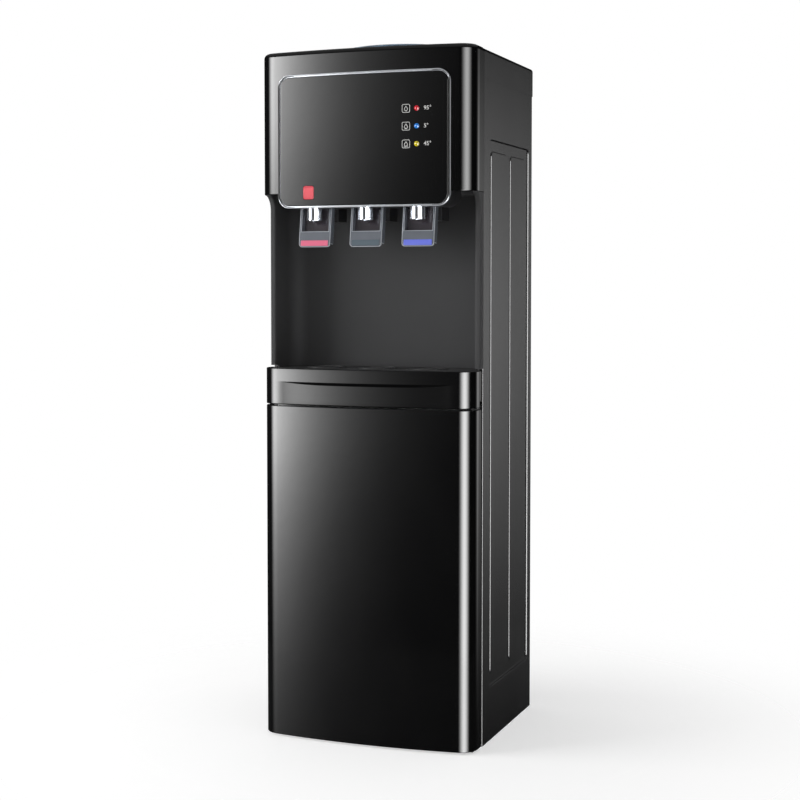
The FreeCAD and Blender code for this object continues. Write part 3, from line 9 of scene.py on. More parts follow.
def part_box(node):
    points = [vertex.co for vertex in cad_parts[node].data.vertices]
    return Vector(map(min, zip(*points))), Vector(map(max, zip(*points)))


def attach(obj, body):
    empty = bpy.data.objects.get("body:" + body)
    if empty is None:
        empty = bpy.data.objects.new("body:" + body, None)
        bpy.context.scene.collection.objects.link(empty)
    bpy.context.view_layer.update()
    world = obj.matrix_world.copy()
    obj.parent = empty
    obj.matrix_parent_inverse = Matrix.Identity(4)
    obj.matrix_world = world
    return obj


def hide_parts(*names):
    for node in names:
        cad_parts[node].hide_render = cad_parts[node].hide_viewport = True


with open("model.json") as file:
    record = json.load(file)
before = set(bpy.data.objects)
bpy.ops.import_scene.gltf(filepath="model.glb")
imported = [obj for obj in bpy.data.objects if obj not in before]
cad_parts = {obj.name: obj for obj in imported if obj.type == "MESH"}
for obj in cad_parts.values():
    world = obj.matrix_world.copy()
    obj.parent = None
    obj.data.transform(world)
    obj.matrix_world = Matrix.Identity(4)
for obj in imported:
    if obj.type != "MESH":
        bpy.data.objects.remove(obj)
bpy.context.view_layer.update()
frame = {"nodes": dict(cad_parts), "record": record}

nodes = frame["nodes"]
scene = bpy.context.scene
scene.view_settings.view_transform = "Standard"
mm = 0.001    # everything is in metres, in the object's own frame


# Camera: at the height of the dispensing bay's middle, to the right of the front

cameraSetup = {
    "place": (0.8253, -2.1875, 0.6403),
    "yaw": 20.622,
    "pitch": -2.697,
    "lens": 72.582,
    "sensor": 36,
    "shiftY": -0.05,
}


def makeCamera(setup):
    data = bpy.data.cameras.new("camera")
    data.sensor_width = setup["sensor"]
    data.lens = setup["lens"]
    data.shift_y = setup["shiftY"]
    camera = bpy.data.objects.new("camera", data)
    camera.location = setup["place"]
    camera.rotation_euler = (math.radians(90 + setup["pitch"]), 0, math.radians(setup["yaw"]))
    scene.collection.objects.link(camera)
    scene.camera = camera


makeCamera(cameraSetup)
print("camera set")


# Node trees

def addNode(tree, kind, inputs=None, **settings):
    # one shader node: a socket given to an input is linked, a plain value is set
    node = tree.nodes.new("ShaderNode" + kind)
    for name, value in settings.items():
        setattr(node, name, value)
    for key, value in (inputs or {}).items():
        if isinstance(value, bpy.types.NodeSocket):
            tree.links.new(value, node.inputs[key])
        else:
            node.inputs[key].default_value = value
    return node


def newMaterial(name):
    material = bpy.data.materials.new(name)
    material.use_nodes = True
    tree = material.node_tree
    return material, tree, tree.nodes["Principled BSDF"]


def placeIn(tree):
    return addNode(tree, "TexCoord").outputs["Object"]


def noise(tree, scale, detail, stretch=(1, 1, 1)):
    where = addNode(tree, "Mapping", {"Vector": placeIn(tree), "Scale": stretch})
    inputs = {"Vector": where.outputs["Vector"], "Scale": scale, "Detail": detail}
    return addNode(tree, "TexNoise", inputs).outputs["Fac"]


def spread(tree, value, low, high, start=0.3, stop=0.7):
    # most of a noise lies between 0.3 and 0.7
    inputs = {"Value": value, "From Min": start, "From Max": stop, "To Min": low, "To Max": high}
    return addNode(tree, "MapRange", inputs).outputs["Result"]


def combine(tree, operation, *values):
    # one sum or product, and so on, of two or more values
    result = values[0]
    for value in values[1:]:
        result = addNode(tree, "Math", {0: result, 1: value}, operation=operation).outputs[0]
    return result


def blendColour(tree, factor, first, second):
    # the mix node keeps its two colours under the numbers 6 and 7
    return addNode(tree, "Mix", {0: factor, 6: first, 7: second}, data_type="RGBA").outputs[2]


def relief(tree, shader, height, depth, strength):
    bump = addNode(tree, "Bump", {"Height": height, "Distance": depth, "Strength": strength})
    tree.links.new(bump.outputs["Normal"], shader.inputs["Normal"])


# Studio: matt surfaces get an even room and one lamp; polished ones mirror soft panels in a darker room

studio = {
    "fill": 0.4,             # what the room gives to matt surfaces
    "room": 0.01,            # what polished surfaces see of the room itself
    "backdrop": 1.0,         # what the camera sees behind the object
    # a tall panel on the left: its places are degrees round from the front, or degrees of height
    "panelGlow": 15.9,
    "panelLeft": -75,        # where it starts
    "panelPeak": -42,
    "panelFall": 8.1,        # how fast it fades from there towards the middle, per radian
    "panelFoot": -5,         # the height under which it fades
    "panelSink": 15.9,       # and how fast, per radian
    "panelWaist": 0.45,      # its level at eye height
    "waistSpan": (-2.5, 1, 2, 7),    # heights between which it dims to that, and is back again
    "panelTop": (12, 20),    # heights between which it ends, with the strip
    # an upright strip on the right
    "stripGlow": 19.0,
    "stripSpan": (3, 41, 76),
    "stripTurn": (-2, 1),    # heights between which it leans and dims
    "stripUpper": 0.5,       # its level above them
    "stripLean": 9,          # and how far it leans to the right there
    "stripFoot": (-23, -17),    # heights between which it dims downwards
    "stripLower": 0.5,       # its level under them
    # a soft patch that the side panel mirrors, and what faces that look up mirror
    "sideGlow": 2.1,
    "sideSpan": (120, 148, 168),
    "sideHeights": (-16, 0, 12),
    "ceilingGlow": 0.3,
    "ceilingFrom": (22, 45),
}


def softStep(tree, value, low, high, start, stop):
    # goes from low to high between two angles in degrees
    inputs = {"Value": value, "From Min": math.radians(start), "From Max": math.radians(stop),
              "To Min": low, "To Max": high}
    return addNode(tree, "MapRange", inputs, interpolation_type="SMOOTHSTEP").outputs["Result"]


def hump(tree, value, first, middle, last):
    return combine(tree, "MULTIPLY", softStep(tree, value, 0, 1, first, middle),
                   softStep(tree, value, 1, 0, middle, last))


def fadeBeyond(tree, value, start, speed):
    beyond = combine(tree, "MAXIMUM", combine(tree, "SUBTRACT", value, math.radians(start)), 0)
    return combine(tree, "EXPONENT", combine(tree, "MULTIPLY", beyond, -speed), 0)


def mirroredRoom(tree, setup):
    toward = addNode(tree, "SeparateXYZ", {"Vector": addNode(tree, "TexCoord").outputs["Generated"]})
    ahead = combine(tree, "MULTIPLY", toward.outputs["Y"], -1)
    around = combine(tree, "ARCTAN2", toward.outputs["X"], ahead)
    height = combine(tree, "ARCSINE", toward.outputs["Z"], 0)

    edge = softStep(tree, around, 0, setup["panelGlow"], setup["panelLeft"], setup["panelPeak"])
    fade = fadeBeyond(tree, around, setup["panelPeak"], setup["panelFall"])
    low = fadeBeyond(tree, combine(tree, "MULTIPLY", height, -1), -setup["panelFoot"], setup["panelSink"])
    start, dim, still, stop = setup["waistSpan"]
    waist = combine(tree, "MAXIMUM", softStep(tree, height, 1, setup["panelWaist"], start, dim),
                    softStep(tree, height, setup["panelWaist"], 1, still, stop))
    top = softStep(tree, height, 1, 0, *setup["panelTop"])
    panel = combine(tree, "MULTIPLY", edge, fade, low, waist, top)

    lean = softStep(tree, height, 0, math.radians(setup["stripLean"]), *setup["stripTurn"])
    across = hump(tree, combine(tree, "SUBTRACT", around, lean), *setup["stripSpan"])
    strip = combine(tree, "MULTIPLY", across, setup["stripGlow"], top,
                    softStep(tree, height, setup["stripLower"], 1, *setup["stripFoot"]),
                    softStep(tree, height, 1, setup["stripUpper"], *setup["stripTurn"]))
    side = combine(tree, "MULTIPLY", hump(tree, around, *setup["sideSpan"]),
                   hump(tree, height, *setup["sideHeights"]), setup["sideGlow"])
    ceiling = softStep(tree, height, 0, setup["ceilingGlow"], *setup["ceilingFrom"])
    return combine(tree, "ADD", panel, strip, side, ceiling, setup["room"])


def makeWorld(setup):
    world = bpy.data.worlds.new("room")
    world.use_nodes = True
    scene.world = world
    tree = world.node_tree
    background = tree.nodes["Background"]
    ray = addNode(tree, "LightPath")
    level = addNode(tree, "Mix", {"Factor": ray.outputs["Is Glossy Ray"], "A": setup["fill"],
                                  "B": mirroredRoom(tree, setup)})
    plain = combine(tree, "MAXIMUM", ray.outputs["Is Camera Ray"], ray.outputs["Is Transmission Ray"])
    seen = addNode(tree, "Mix", {"Factor": plain, "A": level.outputs[0], "B": setup["backdrop"]})
    tree.links.new(seen.outputs[0], background.inputs["Strength"])
    background.inputs["Color"].default_value = (1, 1, 1, 1)


def softBox(name, setup):
    data = bpy.data.lights.new(name, "AREA")
    data.shape = "RECTANGLE"
    data.size, data.size_y = setup["size"]
    data.energy = setup["glow"] * math.pi * data.size * data.size_y
    lamp = bpy.data.objects.new(name, data)
    lamp.location = setup["place"]
    lamp.rotation_euler = (Vector(setup["aim"]) - lamp.location).to_track_quat("-Z", "Y").to_euler()
    lamp.visible_camera = False
    lamp.visible_glossy = False
    scene.collection.objects.link(lamp)


keyLamp = {"place": (-2.45, -1.35, 0.9), "aim": (0, 0, 0.6), "size": (1.9, 1.2), "glow": 8.5}

makeWorld(studio)
softBox("key", keyLamp)
print("studio lit")


# Floor: pale, fading into the white room; polished surfaces see the studio's panels through it

floorSetup = {
    "radius": 1.0, "steps": 96, "fadeFrom": 0.2, "fadeTo": 0.8,
    "colour": (0.8, 0.8, 0.8, 1), "rough": 0.9, "shine": 0.1,
    "lift": 0.5,         # light of its own that only the camera sees
    "mirrored": 0.06,    # how much of it polished surfaces see
}


def makeFloor(setup):
    bpy.ops.mesh.primitive_circle_add(vertices=setup["steps"], radius=setup["radius"], fill_type="NGON",
                                      location=(0, 0, 0))
    floor = bpy.context.object
    floor.name = "floor"
    material, tree, shader = newMaterial("paleFloor")
    shader.inputs["Base Color"].default_value = setup["colour"]
    shader.inputs["Roughness"].default_value = setup["rough"]
    shader.inputs["Specular IOR Level"].default_value = setup["shine"]
    ray = addNode(tree, "LightPath")
    glow = combine(tree, "MULTIPLY", ray.outputs["Is Camera Ray"], setup["lift"])
    lit = addNode(tree, "Emission", {"Strength": glow})
    both = addNode(tree, "AddShader", {0: shader.outputs[0], 1: lit.outputs[0]})
    away = addNode(tree, "VectorMath", {0: placeIn(tree)}, operation="LENGTH").outputs["Value"]
    span = {"Value": away, "From Min": setup["fadeFrom"], "From Max": setup["fadeTo"]}
    fade = addNode(tree, "MapRange", span, interpolation_type="SMOOTHSTEP").outputs["Result"]
    gone = combine(tree, "MULTIPLY", ray.outputs["Is Glossy Ray"], 1 - setup["mirrored"])
    clear = addNode(tree, "BsdfTransparent")
    mixed = addNode(tree, "MixShader", {0: combine(tree, "MAXIMUM", fade, gone), 1: both.outputs[0],
                                        2: clear.outputs[0]})
    tree.links.new(mixed.outputs[0], tree.nodes["Material Output"].inputs["Surface"])
    floor.data.materials.append(material)


makeFloor(floorSetup)
print("floor laid")


# Mesh tools

meshSetup = {
    "weld": 0.002 * mm,          # points nearer than this become one
    "sharp": 32,                 # degrees from which an edge stays sharp
    "leastRadius": 0.01 * mm,    # keeps a ring's points apart
    "noStep": 1e-9,              # a shorter step along an outline gives no direction
    "leastTurn": 0.3,            # keeps a sharp corner from running away when it is drawn in
    "blockRound": (0.1 * mm, 0.5 * mm),    # a block's corners: over its rims' radius, and at least
}
planeOf = {"x": (1, 2), "y": (0, 2), "z": (0, 1)}    # the two directions square to an axis


def arc(centre, radius, start, stop, steps):
    turns = [math.radians(start + (stop - start) * n / steps) for n in range(steps + 1)]
    return [(centre[0] + radius * math.cos(t), centre[1] + radius * math.sin(t)) for t in turns]


def circle(centre, radius, steps):
    return arc(centre, radius, 0, 360, steps)[:-1]


def eased(share):
    # a share from 0 to 1 that starts and ends softly
    return share * share * (3 - 2 * share)


def roundBox(low, high, radius, steps=6):
    # an outline with round corners, from the low and the high corner
    (u0, v0), (u1, v1), r = low, high, max(radius, meshSetup["leastRadius"])
    centres = ((u1 - r, v0 + r), (u1 - r, v1 - r), (u0 + r, v1 - r), (u0 + r, v0 + r))
    return [point for centre, start in zip(centres, (-90, 0, 90, 180))
            for point in arc(centre, r, start, start + 90, steps)]


def roundRear(low, high, r):
    # an outline from above that is square in front and has round rear corners
    (x0, y0), (x1, y1) = low, high
    return [(x0, y0), (x1, y0)] + arc((x1 - r, y1 - r), r, 0, 90, 8) + arc((x0 + r, y1 - r), r, 90, 180, 8)


def inward(outline, distance):
    # an anticlockwise outline drawn in by a distance
    count, result = len(outline), []
    for n in range(count):
        before, here, after = (Vector(outline[(n + k) % count]) for k in (-1, 0, 1))
        first, second = here - before, after - here
        if min(first.length, second.length) < meshSetup["noStep"]:
            first = second = after - before
        normals = [Vector((-edge.y, edge.x)).normalized() for edge in (first, second)]
        middle = (normals[0] + normals[1]).normalized()
        result.append(tuple(here + middle * distance / max(middle.dot(normals[0]), meshSetup["leastTurn"])))
    return result


def roundEdge(radius, steps=4, flip=False):
    # (drawn in, lowered) pairs from a face's rim down a quarter round to the wall
    turns = [math.radians(90 * n / steps) for n in range(steps + 1)]
    pairs = [(radius * (1 - math.sin(t)), radius * (1 - math.cos(t))) for t in turns]
    return pairs[::-1] if flip else pairs


def along(axis):
    # places an outline's points on a plane square to an axis
    return {"x": lambda p, w: (w, p[0], p[1]), "y": lambda p, w: (p[0], w, p[1]),
            "z": lambda p, w: (p[0], p[1], w)}[axis]


def ringsOf(outline, section, axis):
    # an outline's ring for each (drawn in, level) pair of a section
    place = along(axis)
    return [[place(p, level) for p in inward(outline, inset)] for inset, level in section]


def pieceFrom(name, mesh):
    # a smooth object that stays sharp where its faces meet steeply
    data = bpy.data.meshes.new(name)
    mesh.to_mesh(data)
    mesh.free()
    for face in data.polygons:
        face.use_smooth = True
    data.set_sharp_from_angle(angle=math.radians(meshSetup["sharp"]))
    piece = bpy.data.objects.new(name, data)
    scene.collection.objects.link(piece)
    return piece


def finishMesh(name, mesh):
    bmesh.ops.remove_doubles(mesh, verts=mesh.verts, dist=meshSetup["weld"])
    bmesh.ops.recalc_face_normals(mesh, faces=mesh.faces)
    return pieceFrom(name, mesh)


def skin(mesh, rings, cycle=False):
    # joins a row of rings with as many points each, and gives their points in the mesh
    rows = [[mesh.verts.new(point) for point in ring] for ring in rings]
    for low, high in list(zip(rows, rows[1:])) + ([(rows[-1], rows[0])] if cycle else []):
        for n in range(len(low)):
            m = (n + 1) % len(low)
            mesh.faces.new((low[n], low[m], high[m], high[n]))
    return rows


def build(name, rings, cycle=False):
    # a piece from a row of rings, whose two ends are closed, or joined in a cycle
    mesh = bmesh.new()
    rows = skin(mesh, rings, cycle)
    if not cycle:
        mesh.faces.new(rows[0][::-1])
        mesh.faces.new(rows[-1])
    return finishMesh(name, mesh)


def slab(name, outline, axis, start, stop, rounds=(0, 0), steps=4):
    # a plate between two levels with its rims rounded at the start and at the stop
    towards = 1 if stop > start else -1
    first = roundEdge(rounds[0], steps) if rounds[0] else [(0, 0)]
    last = roundEdge(rounds[1], steps, True) if rounds[1] else [(0, 0)]
    section = [(inset, start + towards * drop) for inset, drop in first]
    section += [(inset, stop - towards * drop) for inset, drop in last]
    return build(name, ringsOf(outline, section, axis))


def roundedBlock(name, low, high, radius, axis="y"):
    # a block with round corners, and with its rims rounded at its two ends along an axis
    u, v = planeOf[axis]
    level = "xyz".index(axis)
    over, least = meshSetup["blockRound"]
    outline = roundBox((low[u], low[v]), (high[u], high[v]), max(radius + over, least), 4)
    return slab(name, outline, axis, low[level], high[level], (radius, radius), 3)


def band(name, outline, section, axis):
    # a closed band round an outline: section is a loop of (drawn in, level) pairs
    return build(name, ringsOf(outline, section, axis), cycle=True)


def turned(name, profile, centre, axis, steps, closed=True):
    # a body of revolution: its profile of (radius, level) pairs is closed, or ends on the axis
    place = along(axis)
    middle = tuple(centre[k] for k in planeOf[axis])
    rings = [[place(p, level) for p in circle(middle, max(radius, meshSetup["leastRadius"]), steps)]
             for radius, level in profile]
    return build(name, rings, cycle=closed)


def joinPieces(name, pieces):
    # several closed shells as one piece
    mesh = bmesh.new()
    for piece in pieces:
        mesh.from_mesh(piece.data)
        bpy.data.objects.remove(piece)
    return finishMesh(name, mesh)


def evaluated(piece):
    # an object's mesh as it stands with its modifiers
    bpy.context.view_layer.update()
    ready = piece.evaluated_get(bpy.context.evaluated_depsgraph_get())
    mesh = bmesh.new()
    mesh.from_mesh(bpy.data.meshes.new_from_object(ready))
    return mesh


def carve(piece, *tools, operation="DIFFERENCE"):
    # cuts tools from a piece, or joins them to it, and removes them
    for tool in tools:
        change = piece.modifiers.new("carve", "BOOLEAN")
        change.operation = operation
        change.object = tool
        change.solver = "EXACT"
        mesh = evaluated(piece)
        name = piece.name
        bpy.data.objects.remove(piece)
        bpy.data.objects.remove(tool)
        piece = finishMesh(name, mesh)
    return piece


def dress(piece, slotName, body, replaced=(), material=None, keepMaterials=False):
    # gives a piece its finish, its body, and the frame's pieces that it stands for
    even = piece.modifiers.new("even shading", "WEIGHTED_NORMAL")
    even.keep_sharp = True
    even.weight = 100
    if not keepMaterials:
        piece.data.materials.clear()
        piece.data.materials.append(material or finishes[slotName])
    if replaced:
        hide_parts(*replaced)
    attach(piece, body)


# Finishes: tone and roughness drift over each surface, and a fine relief stands on it

gloss = {
    "tones": ((0.0035, 0.0035, 0.0038, 1), (0.005, 0.005, 0.0052, 1)),
    "smear": (14, 4, (1, 1, 0.5)), "speck": (900, 2),    # scale, detail and stretch
    "rough": (0.085, 0.12), "roughSpan": (0.15, 0.4),
    "ripple": (55, 1), "relief": (0.02 * mm, 1),         # depth and strength
}
looks = {
    "satin": {"drift": (9, 3), "darker": 0.93, "uneven": (0.92, 1.08),
              "grain": (1700, 2), "relief": (0.03 * mm, 1)},
    "painted": {"drift": (6, 3, (1, 1, 0.35)), "darker": 0.8, "uneven": (0.9, 1.1),
                "grain": (1100, 3), "relief": (0.04 * mm, 1)},
    "polished": {"drift": (60, 3, (1, 1, 0.2)), "darker": 0.94, "uneven": (0.8, 1.3),
                 "grain": (1500, 1), "relief": (0.01 * mm, 0.3)},
    "clear": {"drift": (70, 2, (1, 1, 0.4)), "darker": 0.93, "uneven": (0.8, 1.4), "index": 1.49,
              "grain": (240, 1), "relief": (0.01 * mm, 0.4)},
    "bead": {"drift": (500, 2), "darker": 0.7, "uneven": (1, 1.8), "rough": 0.05, "glow": 0.15},
}


def glossBlack():
    material, tree, shader = newMaterial("glossBlack")
    smear = noise(tree, *gloss["smear"])
    tone = blendColour(tree, spread(tree, smear, 0, 1), *gloss["tones"])
    tree.links.new(tone, shader.inputs["Base Color"])
    uneven = combine(tree, "MULTIPLY", smear, noise(tree, *gloss["speck"]))
    tree.links.new(spread(tree, uneven, *gloss["rough"], *gloss["roughSpan"]), shader.inputs["Roughness"])
    relief(tree, shader, noise(tree, *gloss["ripple"]), *gloss["relief"])
    return material


def drifting(name, colour, roughness, look, sockets):
    material, tree, shader = newMaterial(name)
    drift = noise(tree, *look["drift"])
    darker = tuple(c * look["darker"] for c in colour) + (1,)
    tone = blendColour(tree, spread(tree, drift, 0, 1), darker, tuple(colour) + (1,))
    tree.links.new(tone, shader.inputs["Base Color"])
    rough = spread(tree, drift, *(roughness * share for share in look["uneven"]))
    tree.links.new(rough, shader.inputs["Roughness"])
    if "grain" in look:
        relief(tree, shader, noise(tree, *look["grain"]), *look["relief"])
    for socket, value in sockets.items():
        shader.inputs[socket].default_value = value
    return material


def satinPlastic(name, colour, roughness, shine=0.5):
    return drifting(name, colour, roughness, looks["satin"], {"Specular IOR Level": shine})


def paintedSteel(name, colour, roughness, shine=0.5):
    return drifting(name, colour, roughness, looks["painted"], {"Specular IOR Level": shine})


def polishedMetal(name, colour, roughness, metal=1.0):
    return drifting(name, colour, roughness, looks["polished"], {"Metallic": metal})


def clearPlastic(name, colour, roughness=0.06, clear=0.92):
    look = looks["clear"]
    return drifting(name, colour, roughness, look, {"Transmission Weight": clear, "IOR": look["index"]})


def litGlass(name, colour):
    # coloured glass over a lit lamp
    look = looks["bead"]
    glow = {"Coat Weight": 1, "Emission Color": tuple(colour) + (1,), "Emission Strength": look["glow"]}
    return drifting(name, colour, look["rough"], look, glow)


finishes = {
    "gloss_black": glossBlack(),
    "panel_glass": glossBlack(),
    "satin_black": satinPlastic("satinBlack", (0.012, 0.012, 0.0125), 0.42),
    "panel_black": paintedSteel("paintedBlack", (0.012, 0.012, 0.0125), 0.17, 0.8),
    "chrome_trim": polishedMetal("chromePlate", (0.86, 0.89, 0.95), 0.05, 0.9),
    "clear_grey": clearPlastic("clearGrey", (0.34, 0.37, 0.42), 0.1, 0.5),
    "red_insert": satinPlastic("redInsert", (0.98, 0.21, 0.34), 0.3),
    "blue_insert": satinPlastic("blueInsert", (0.21, 0.26, 0.98), 0.3),
    "grey_insert": satinPlastic("greyInsert", (0.12, 0.16, 0.19), 0.22),
    "red_button": satinPlastic("redButton", (0.8, 0.07, 0.1), 0.3),
    "lens": clearPlastic("lens", (0.9, 0.4, 0.3)),
    "seat_blue": clearPlastic("seatBlue", (0.62, 0.8, 0.95)),
    "liner_white": satinPlastic("linerWhite", (0.75, 0.76, 0.76), 0.4),
    "rubber_black": satinPlastic("rubberBlack", (0.02, 0.02, 0.02), 0.7),
    "stainless": polishedMetal("stainless", (0.6, 0.61, 0.62), 0.28),
    "foam": satinPlastic("foam", (0.85, 0.78, 0.58), 0.9),
    "copper": polishedMetal("copper", (0.72, 0.4, 0.26), 0.25),
    "zinc_sheet": polishedMetal("zincSheet", (0.52, 0.53, 0.55), 0.4),
    "machine_black": paintedSteel("machineBlack", (0.02, 0.02, 0.02), 0.35),
    "board_green": satinPlastic("boardGreen", (0.03, 0.18, 0.07), 0.4),
    "silicone": satinPlastic("silicone", (0.75, 0.75, 0.72), 0.45),
    "red_switch": satinPlastic("redSwitch", (0.6, 0.03, 0.03), 0.25),
    "green_switch": satinPlastic("greenSwitch", (0.03, 0.3, 0.08), 0.25),
}
lampGlass = {
    "red": litGlass("redGlass", (0.8, 0.01, 0.03)),
    "blue": litGlass("blueGlass", (0.01, 0.25, 0.85)),
    "yellow": litGlass("yellowGlass", (0.75, 0.6, 0.01)),
}
brightLine = polishedMetal("brightLine", (0.9, 0.93, 0.98), 0.16, 0.45)
# a pale opaque finish for the paddles' rounded edges: a painted highlight where clear edges catch light
paleEdgeHighlight = satinPlastic("paleEdgeHighlight", (0.62, 0.65, 0.7), 0.2)
smokyPane = clearPlastic("smokyPane", (0.1, 0.085, 0.1), 0.12, 0.45)
grilleSatin = satinPlastic("grilleSatin", (0.05, 0.05, 0.051), 0.25, 0.8)
ink = satinPlastic("whiteInk", (0.82, 0.82, 0.8), 0.5)
nodeFinishes = {
    "bay_shell": satinPlastic("bayPlastic", (0.09, 0.09, 0.092), 0.6, 0.05),
    "hinge_brackets": finishes["machine_black"],
}

slotOf = {part["node"]: part["material_slot"] for part in frame["record"]["subparts"]}
for name, piece in nodes.items():
    piece.data.materials.clear()
    piece.data.materials.append(nodeFinishes.get(name, finishes[slotOf[name]]))
print("finishes given")


# Control panel: a bright frame, the bowed plate inside it, and what sits in the plate

panel = {
    "bow": 1.2,                  # radius of its gentle curve from above
    "strips": 48,                # upright strips in which it bends
    "curveSteps": 12,
    "frameRound": 17 * mm,
    "frameWide": 1.3 * mm,       # width of the bright line
    "frameEdge": (0.5 * mm, 0.17 * mm, 0.6 * mm),    # its rounding: across, on the slant and down
    "frameRear": 4.4 * mm,       # depth of its bright side wall
    "frameChamfer": 0.2 * mm,
    "frameStep": 0.9 * mm,       # how far it is drawn in behind that wall
    "frameProud": 0.06 * mm,     # how far it stands out past the box behind it
    "ledge": (2.2 * mm, 2.4 * mm, 2.8 * mm),    # the plate's seat: its two levels, and its reach
    "groove": 0.6 * mm,          # dark gap between the frame and the plate
    "plateRound": 14.2 * mm,
    "plateEdge": 0.5 * mm,
    "plateFace": (1.6 * mm, 1.7 * mm),    # levels behind the face between which it widens
    "plateGap": 0.05 * mm,       # and its play there
    "buttonPlay": 0.45 * mm,
    "buttonRound": 3.4 * mm,     # corners of the hole for the button
    "cutPast": 3 * mm,           # how far its cutter reaches past the plate
}


def bowPiece(piece):
    # bends a flat front piece back towards its two sides
    for point in piece.data.vertices:
        point.co.y += point.co.x ** 2 / (2 * panel["bow"])
    return piece


def plateY(x):
    # the plate's face at a place across it
    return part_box("control_panel")[0].y + x ** 2 / (2 * panel["bow"])


def flatBox(node):
    # a node's corners in the plane of the front, and its front and rear levels
    low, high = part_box(node)
    return (low.x, low.z), (high.x, high.z), low.y, high.y


def cutAcross(piece, width, steps):
    # slices a flat piece into upright strips, so that it can bend
    mesh = bmesh.new()
    mesh.from_mesh(piece.data)
    for n in range(1, steps):
        where = (-width / 2 + width * n / steps, 0, 0)
        bmesh.ops.bisect_plane(mesh, geom=mesh.verts[:] + mesh.edges[:] + mesh.faces[:], plane_co=where,
                               plane_no=(1, 0, 0))
    name = piece.name
    bpy.data.objects.remove(piece)
    return finishMesh(name, mesh)


def makeFrame():
    d = panel
    low, high, faceY, rearY = flatBox("panel_frame")
    p, w, wall, step = d["frameProud"], d["frameWide"], faceY + d["frameRear"], d["frameStep"]
    outline = roundBox((low[0] - p, low[1] - p), (high[0] + p, high[1] + p), d["frameRound"] + p,
                       d["curveSteps"])
    across, slant, down = d["frameEdge"]
    outerLevel, innerLevel, reach = d["ledge"]
    section = [(step, rearY), (step, wall), (0, wall - d["frameChamfer"])]
    section += [(0, faceY + down), (slant, faceY + slant), (across, faceY)]
    section += [(w - across, faceY), (w - slant, faceY + slant), (w, faceY + down)]
    section += [(w, faceY + outerLevel), (reach, faceY + innerLevel), (reach, rearY)]
    piece = band("panelFrame", outline, section, "y")
    return bowPiece(cutAcross(piece, high[0] - low[0], d["strips"]))


def makePlate():
    d = panel
    low, high, faceY, rearY = flatBox("control_panel")
    narrow, wide = d["plateFace"]
    section = [(d["groove"] + inset, faceY + drop) for inset, drop in roundEdge(d["plateEdge"], 3)]
    section += [(d["groove"], faceY + narrow), (d["plateGap"], faceY + wide), (d["plateGap"], rearY)]
    outline = roundBox(low, high, d["plateRound"], d["curveSteps"])
    piece = build("controlPlate", ringsOf(outline, section, "y"))
    holeLow, holeHigh = flatBox("child_lock_button")[:2]
    play, past = d["buttonPlay"], d["cutPast"]
    hole = roundBox([value - play for value in holeLow], [value + play for value in holeHigh],
                    d["buttonRound"])
    piece = carve(piece, slab("hole", hole, "y", faceY - past, rearY + past))
    return bowPiece(cutAcross(piece, high[0] - low[0], d["strips"]))


button = {
    "round": 3 * mm, "roundSteps": 8, "edge": 0.8 * mm, "edgeSteps": 5,
    "thick": 1.1 * mm,    # thin enough to keep clear of the tap behind it when it is pressed
    "rim": 1.6 * mm,      # the dish in its face starts here
    "slope": ((0.35 * mm, 0.1 * mm), (0.7 * mm, 0.45 * mm)),    # and sinks like this: inwards and down
}


def makeButton():
    low, high, faceY = flatBox("child_lock_button")[:3]
    turn = roundEdge(button["edge"], button["edgeSteps"], True)
    section = [(0, faceY + button["thick"])] + [(inset, faceY + drop) for inset, drop in turn]
    section += [(button["rim"], faceY)]
    section += [(button["rim"] + inset, faceY + drop) for inset, drop in button["slope"]]
    outline = roundBox(low, high, button["round"], button["roundSteps"])
    return bowPiece(build("childLockButton", ringsOf(outline, section, "y")))


dress(makeFrame(), "chrome_trim", "cabinet", ["panel_frame"], brightLine)
dress(makePlate(), "panel_glass", "cabinet", ["control_panel"])
dress(makeButton(), "red_button", "child_lock", ["child_lock_button"])


# Lamps in the plate: a glass bead, an icon and a number for each temperature

lights = {
    "names": ("red", "blue", "yellow"), "numbers": ("95°", "5°", "45°"),
    "across": 80 * mm, "top": 876 * mm, "pitch": 23.75 * mm,
    "radius": 3.6 * mm, "rise": 2.2 * mm, "seat": 3 * mm, "domeSteps": 9, "steps": 32,
    "iconAcross": 65 * mm, "wordAcross": 89.8 * mm, "wordSize": 7.6 * mm,
    "inkThick": 0.12 * mm, "inkSunk": 0.1 * mm,    # how far icons stand out of the plate, and reach in
    "inkBold": 0.12 * mm, "wordLift": 0.02 * mm,
}
icon = {
    "half": 5.7 * mm, "line": 0.7 * mm, "round": 2.3 * mm,
    "drop": (2.6 * mm, 4.4 * mm), "dropPinch": 0.55, "dropSteps": 24,    # its radius, and its tip's height
    "dropLow": 0.9 * mm, "dropLine": 0.8 * mm,
    "barPitch": 2.2 * mm, "barHalf": 0.75 * mm, "barSpan": (1.6 * mm, 2.3 * mm), "barRound": 0.2 * mm,
}


def makeLight(name, z):
    radius, rise, steps = lights["radius"], lights["rise"], lights["domeSteps"]
    faceY = plateY(lights["across"])
    rearY = faceY + lights["seat"]
    dome = [(radius * math.cos(t), faceY - rise * math.sin(t))
            for t in (math.radians(90 * n / steps) for n in range(steps + 1))]
    return turned(f"{name}Light", [(0, rearY), (radius, rearY)] + dome, (lights["across"], 0, z), "y",
                  lights["steps"], closed=False)


def inkPatch(name, loops, x, z):
    # a thin printed mark: each loop is a closed outline about the mark's own middle, with its hole or none
    foot, top = plateY(x) + lights["inkSunk"], plateY(x) - lights["inkThick"]

    def ring(outline, level):
        return [(x + u, level + u * x / panel["bow"], z + v) for u, v in outline]

    pieces = []
    for outer, inner in loops:
        rings = [ring(outer, foot), ring(outer, top)]
        if inner:
            rings += [ring(inner, top), ring(inner, foot)]
        pieces.append(build(name, rings, cycle=bool(inner)))
    return joinPieces(name, pieces)


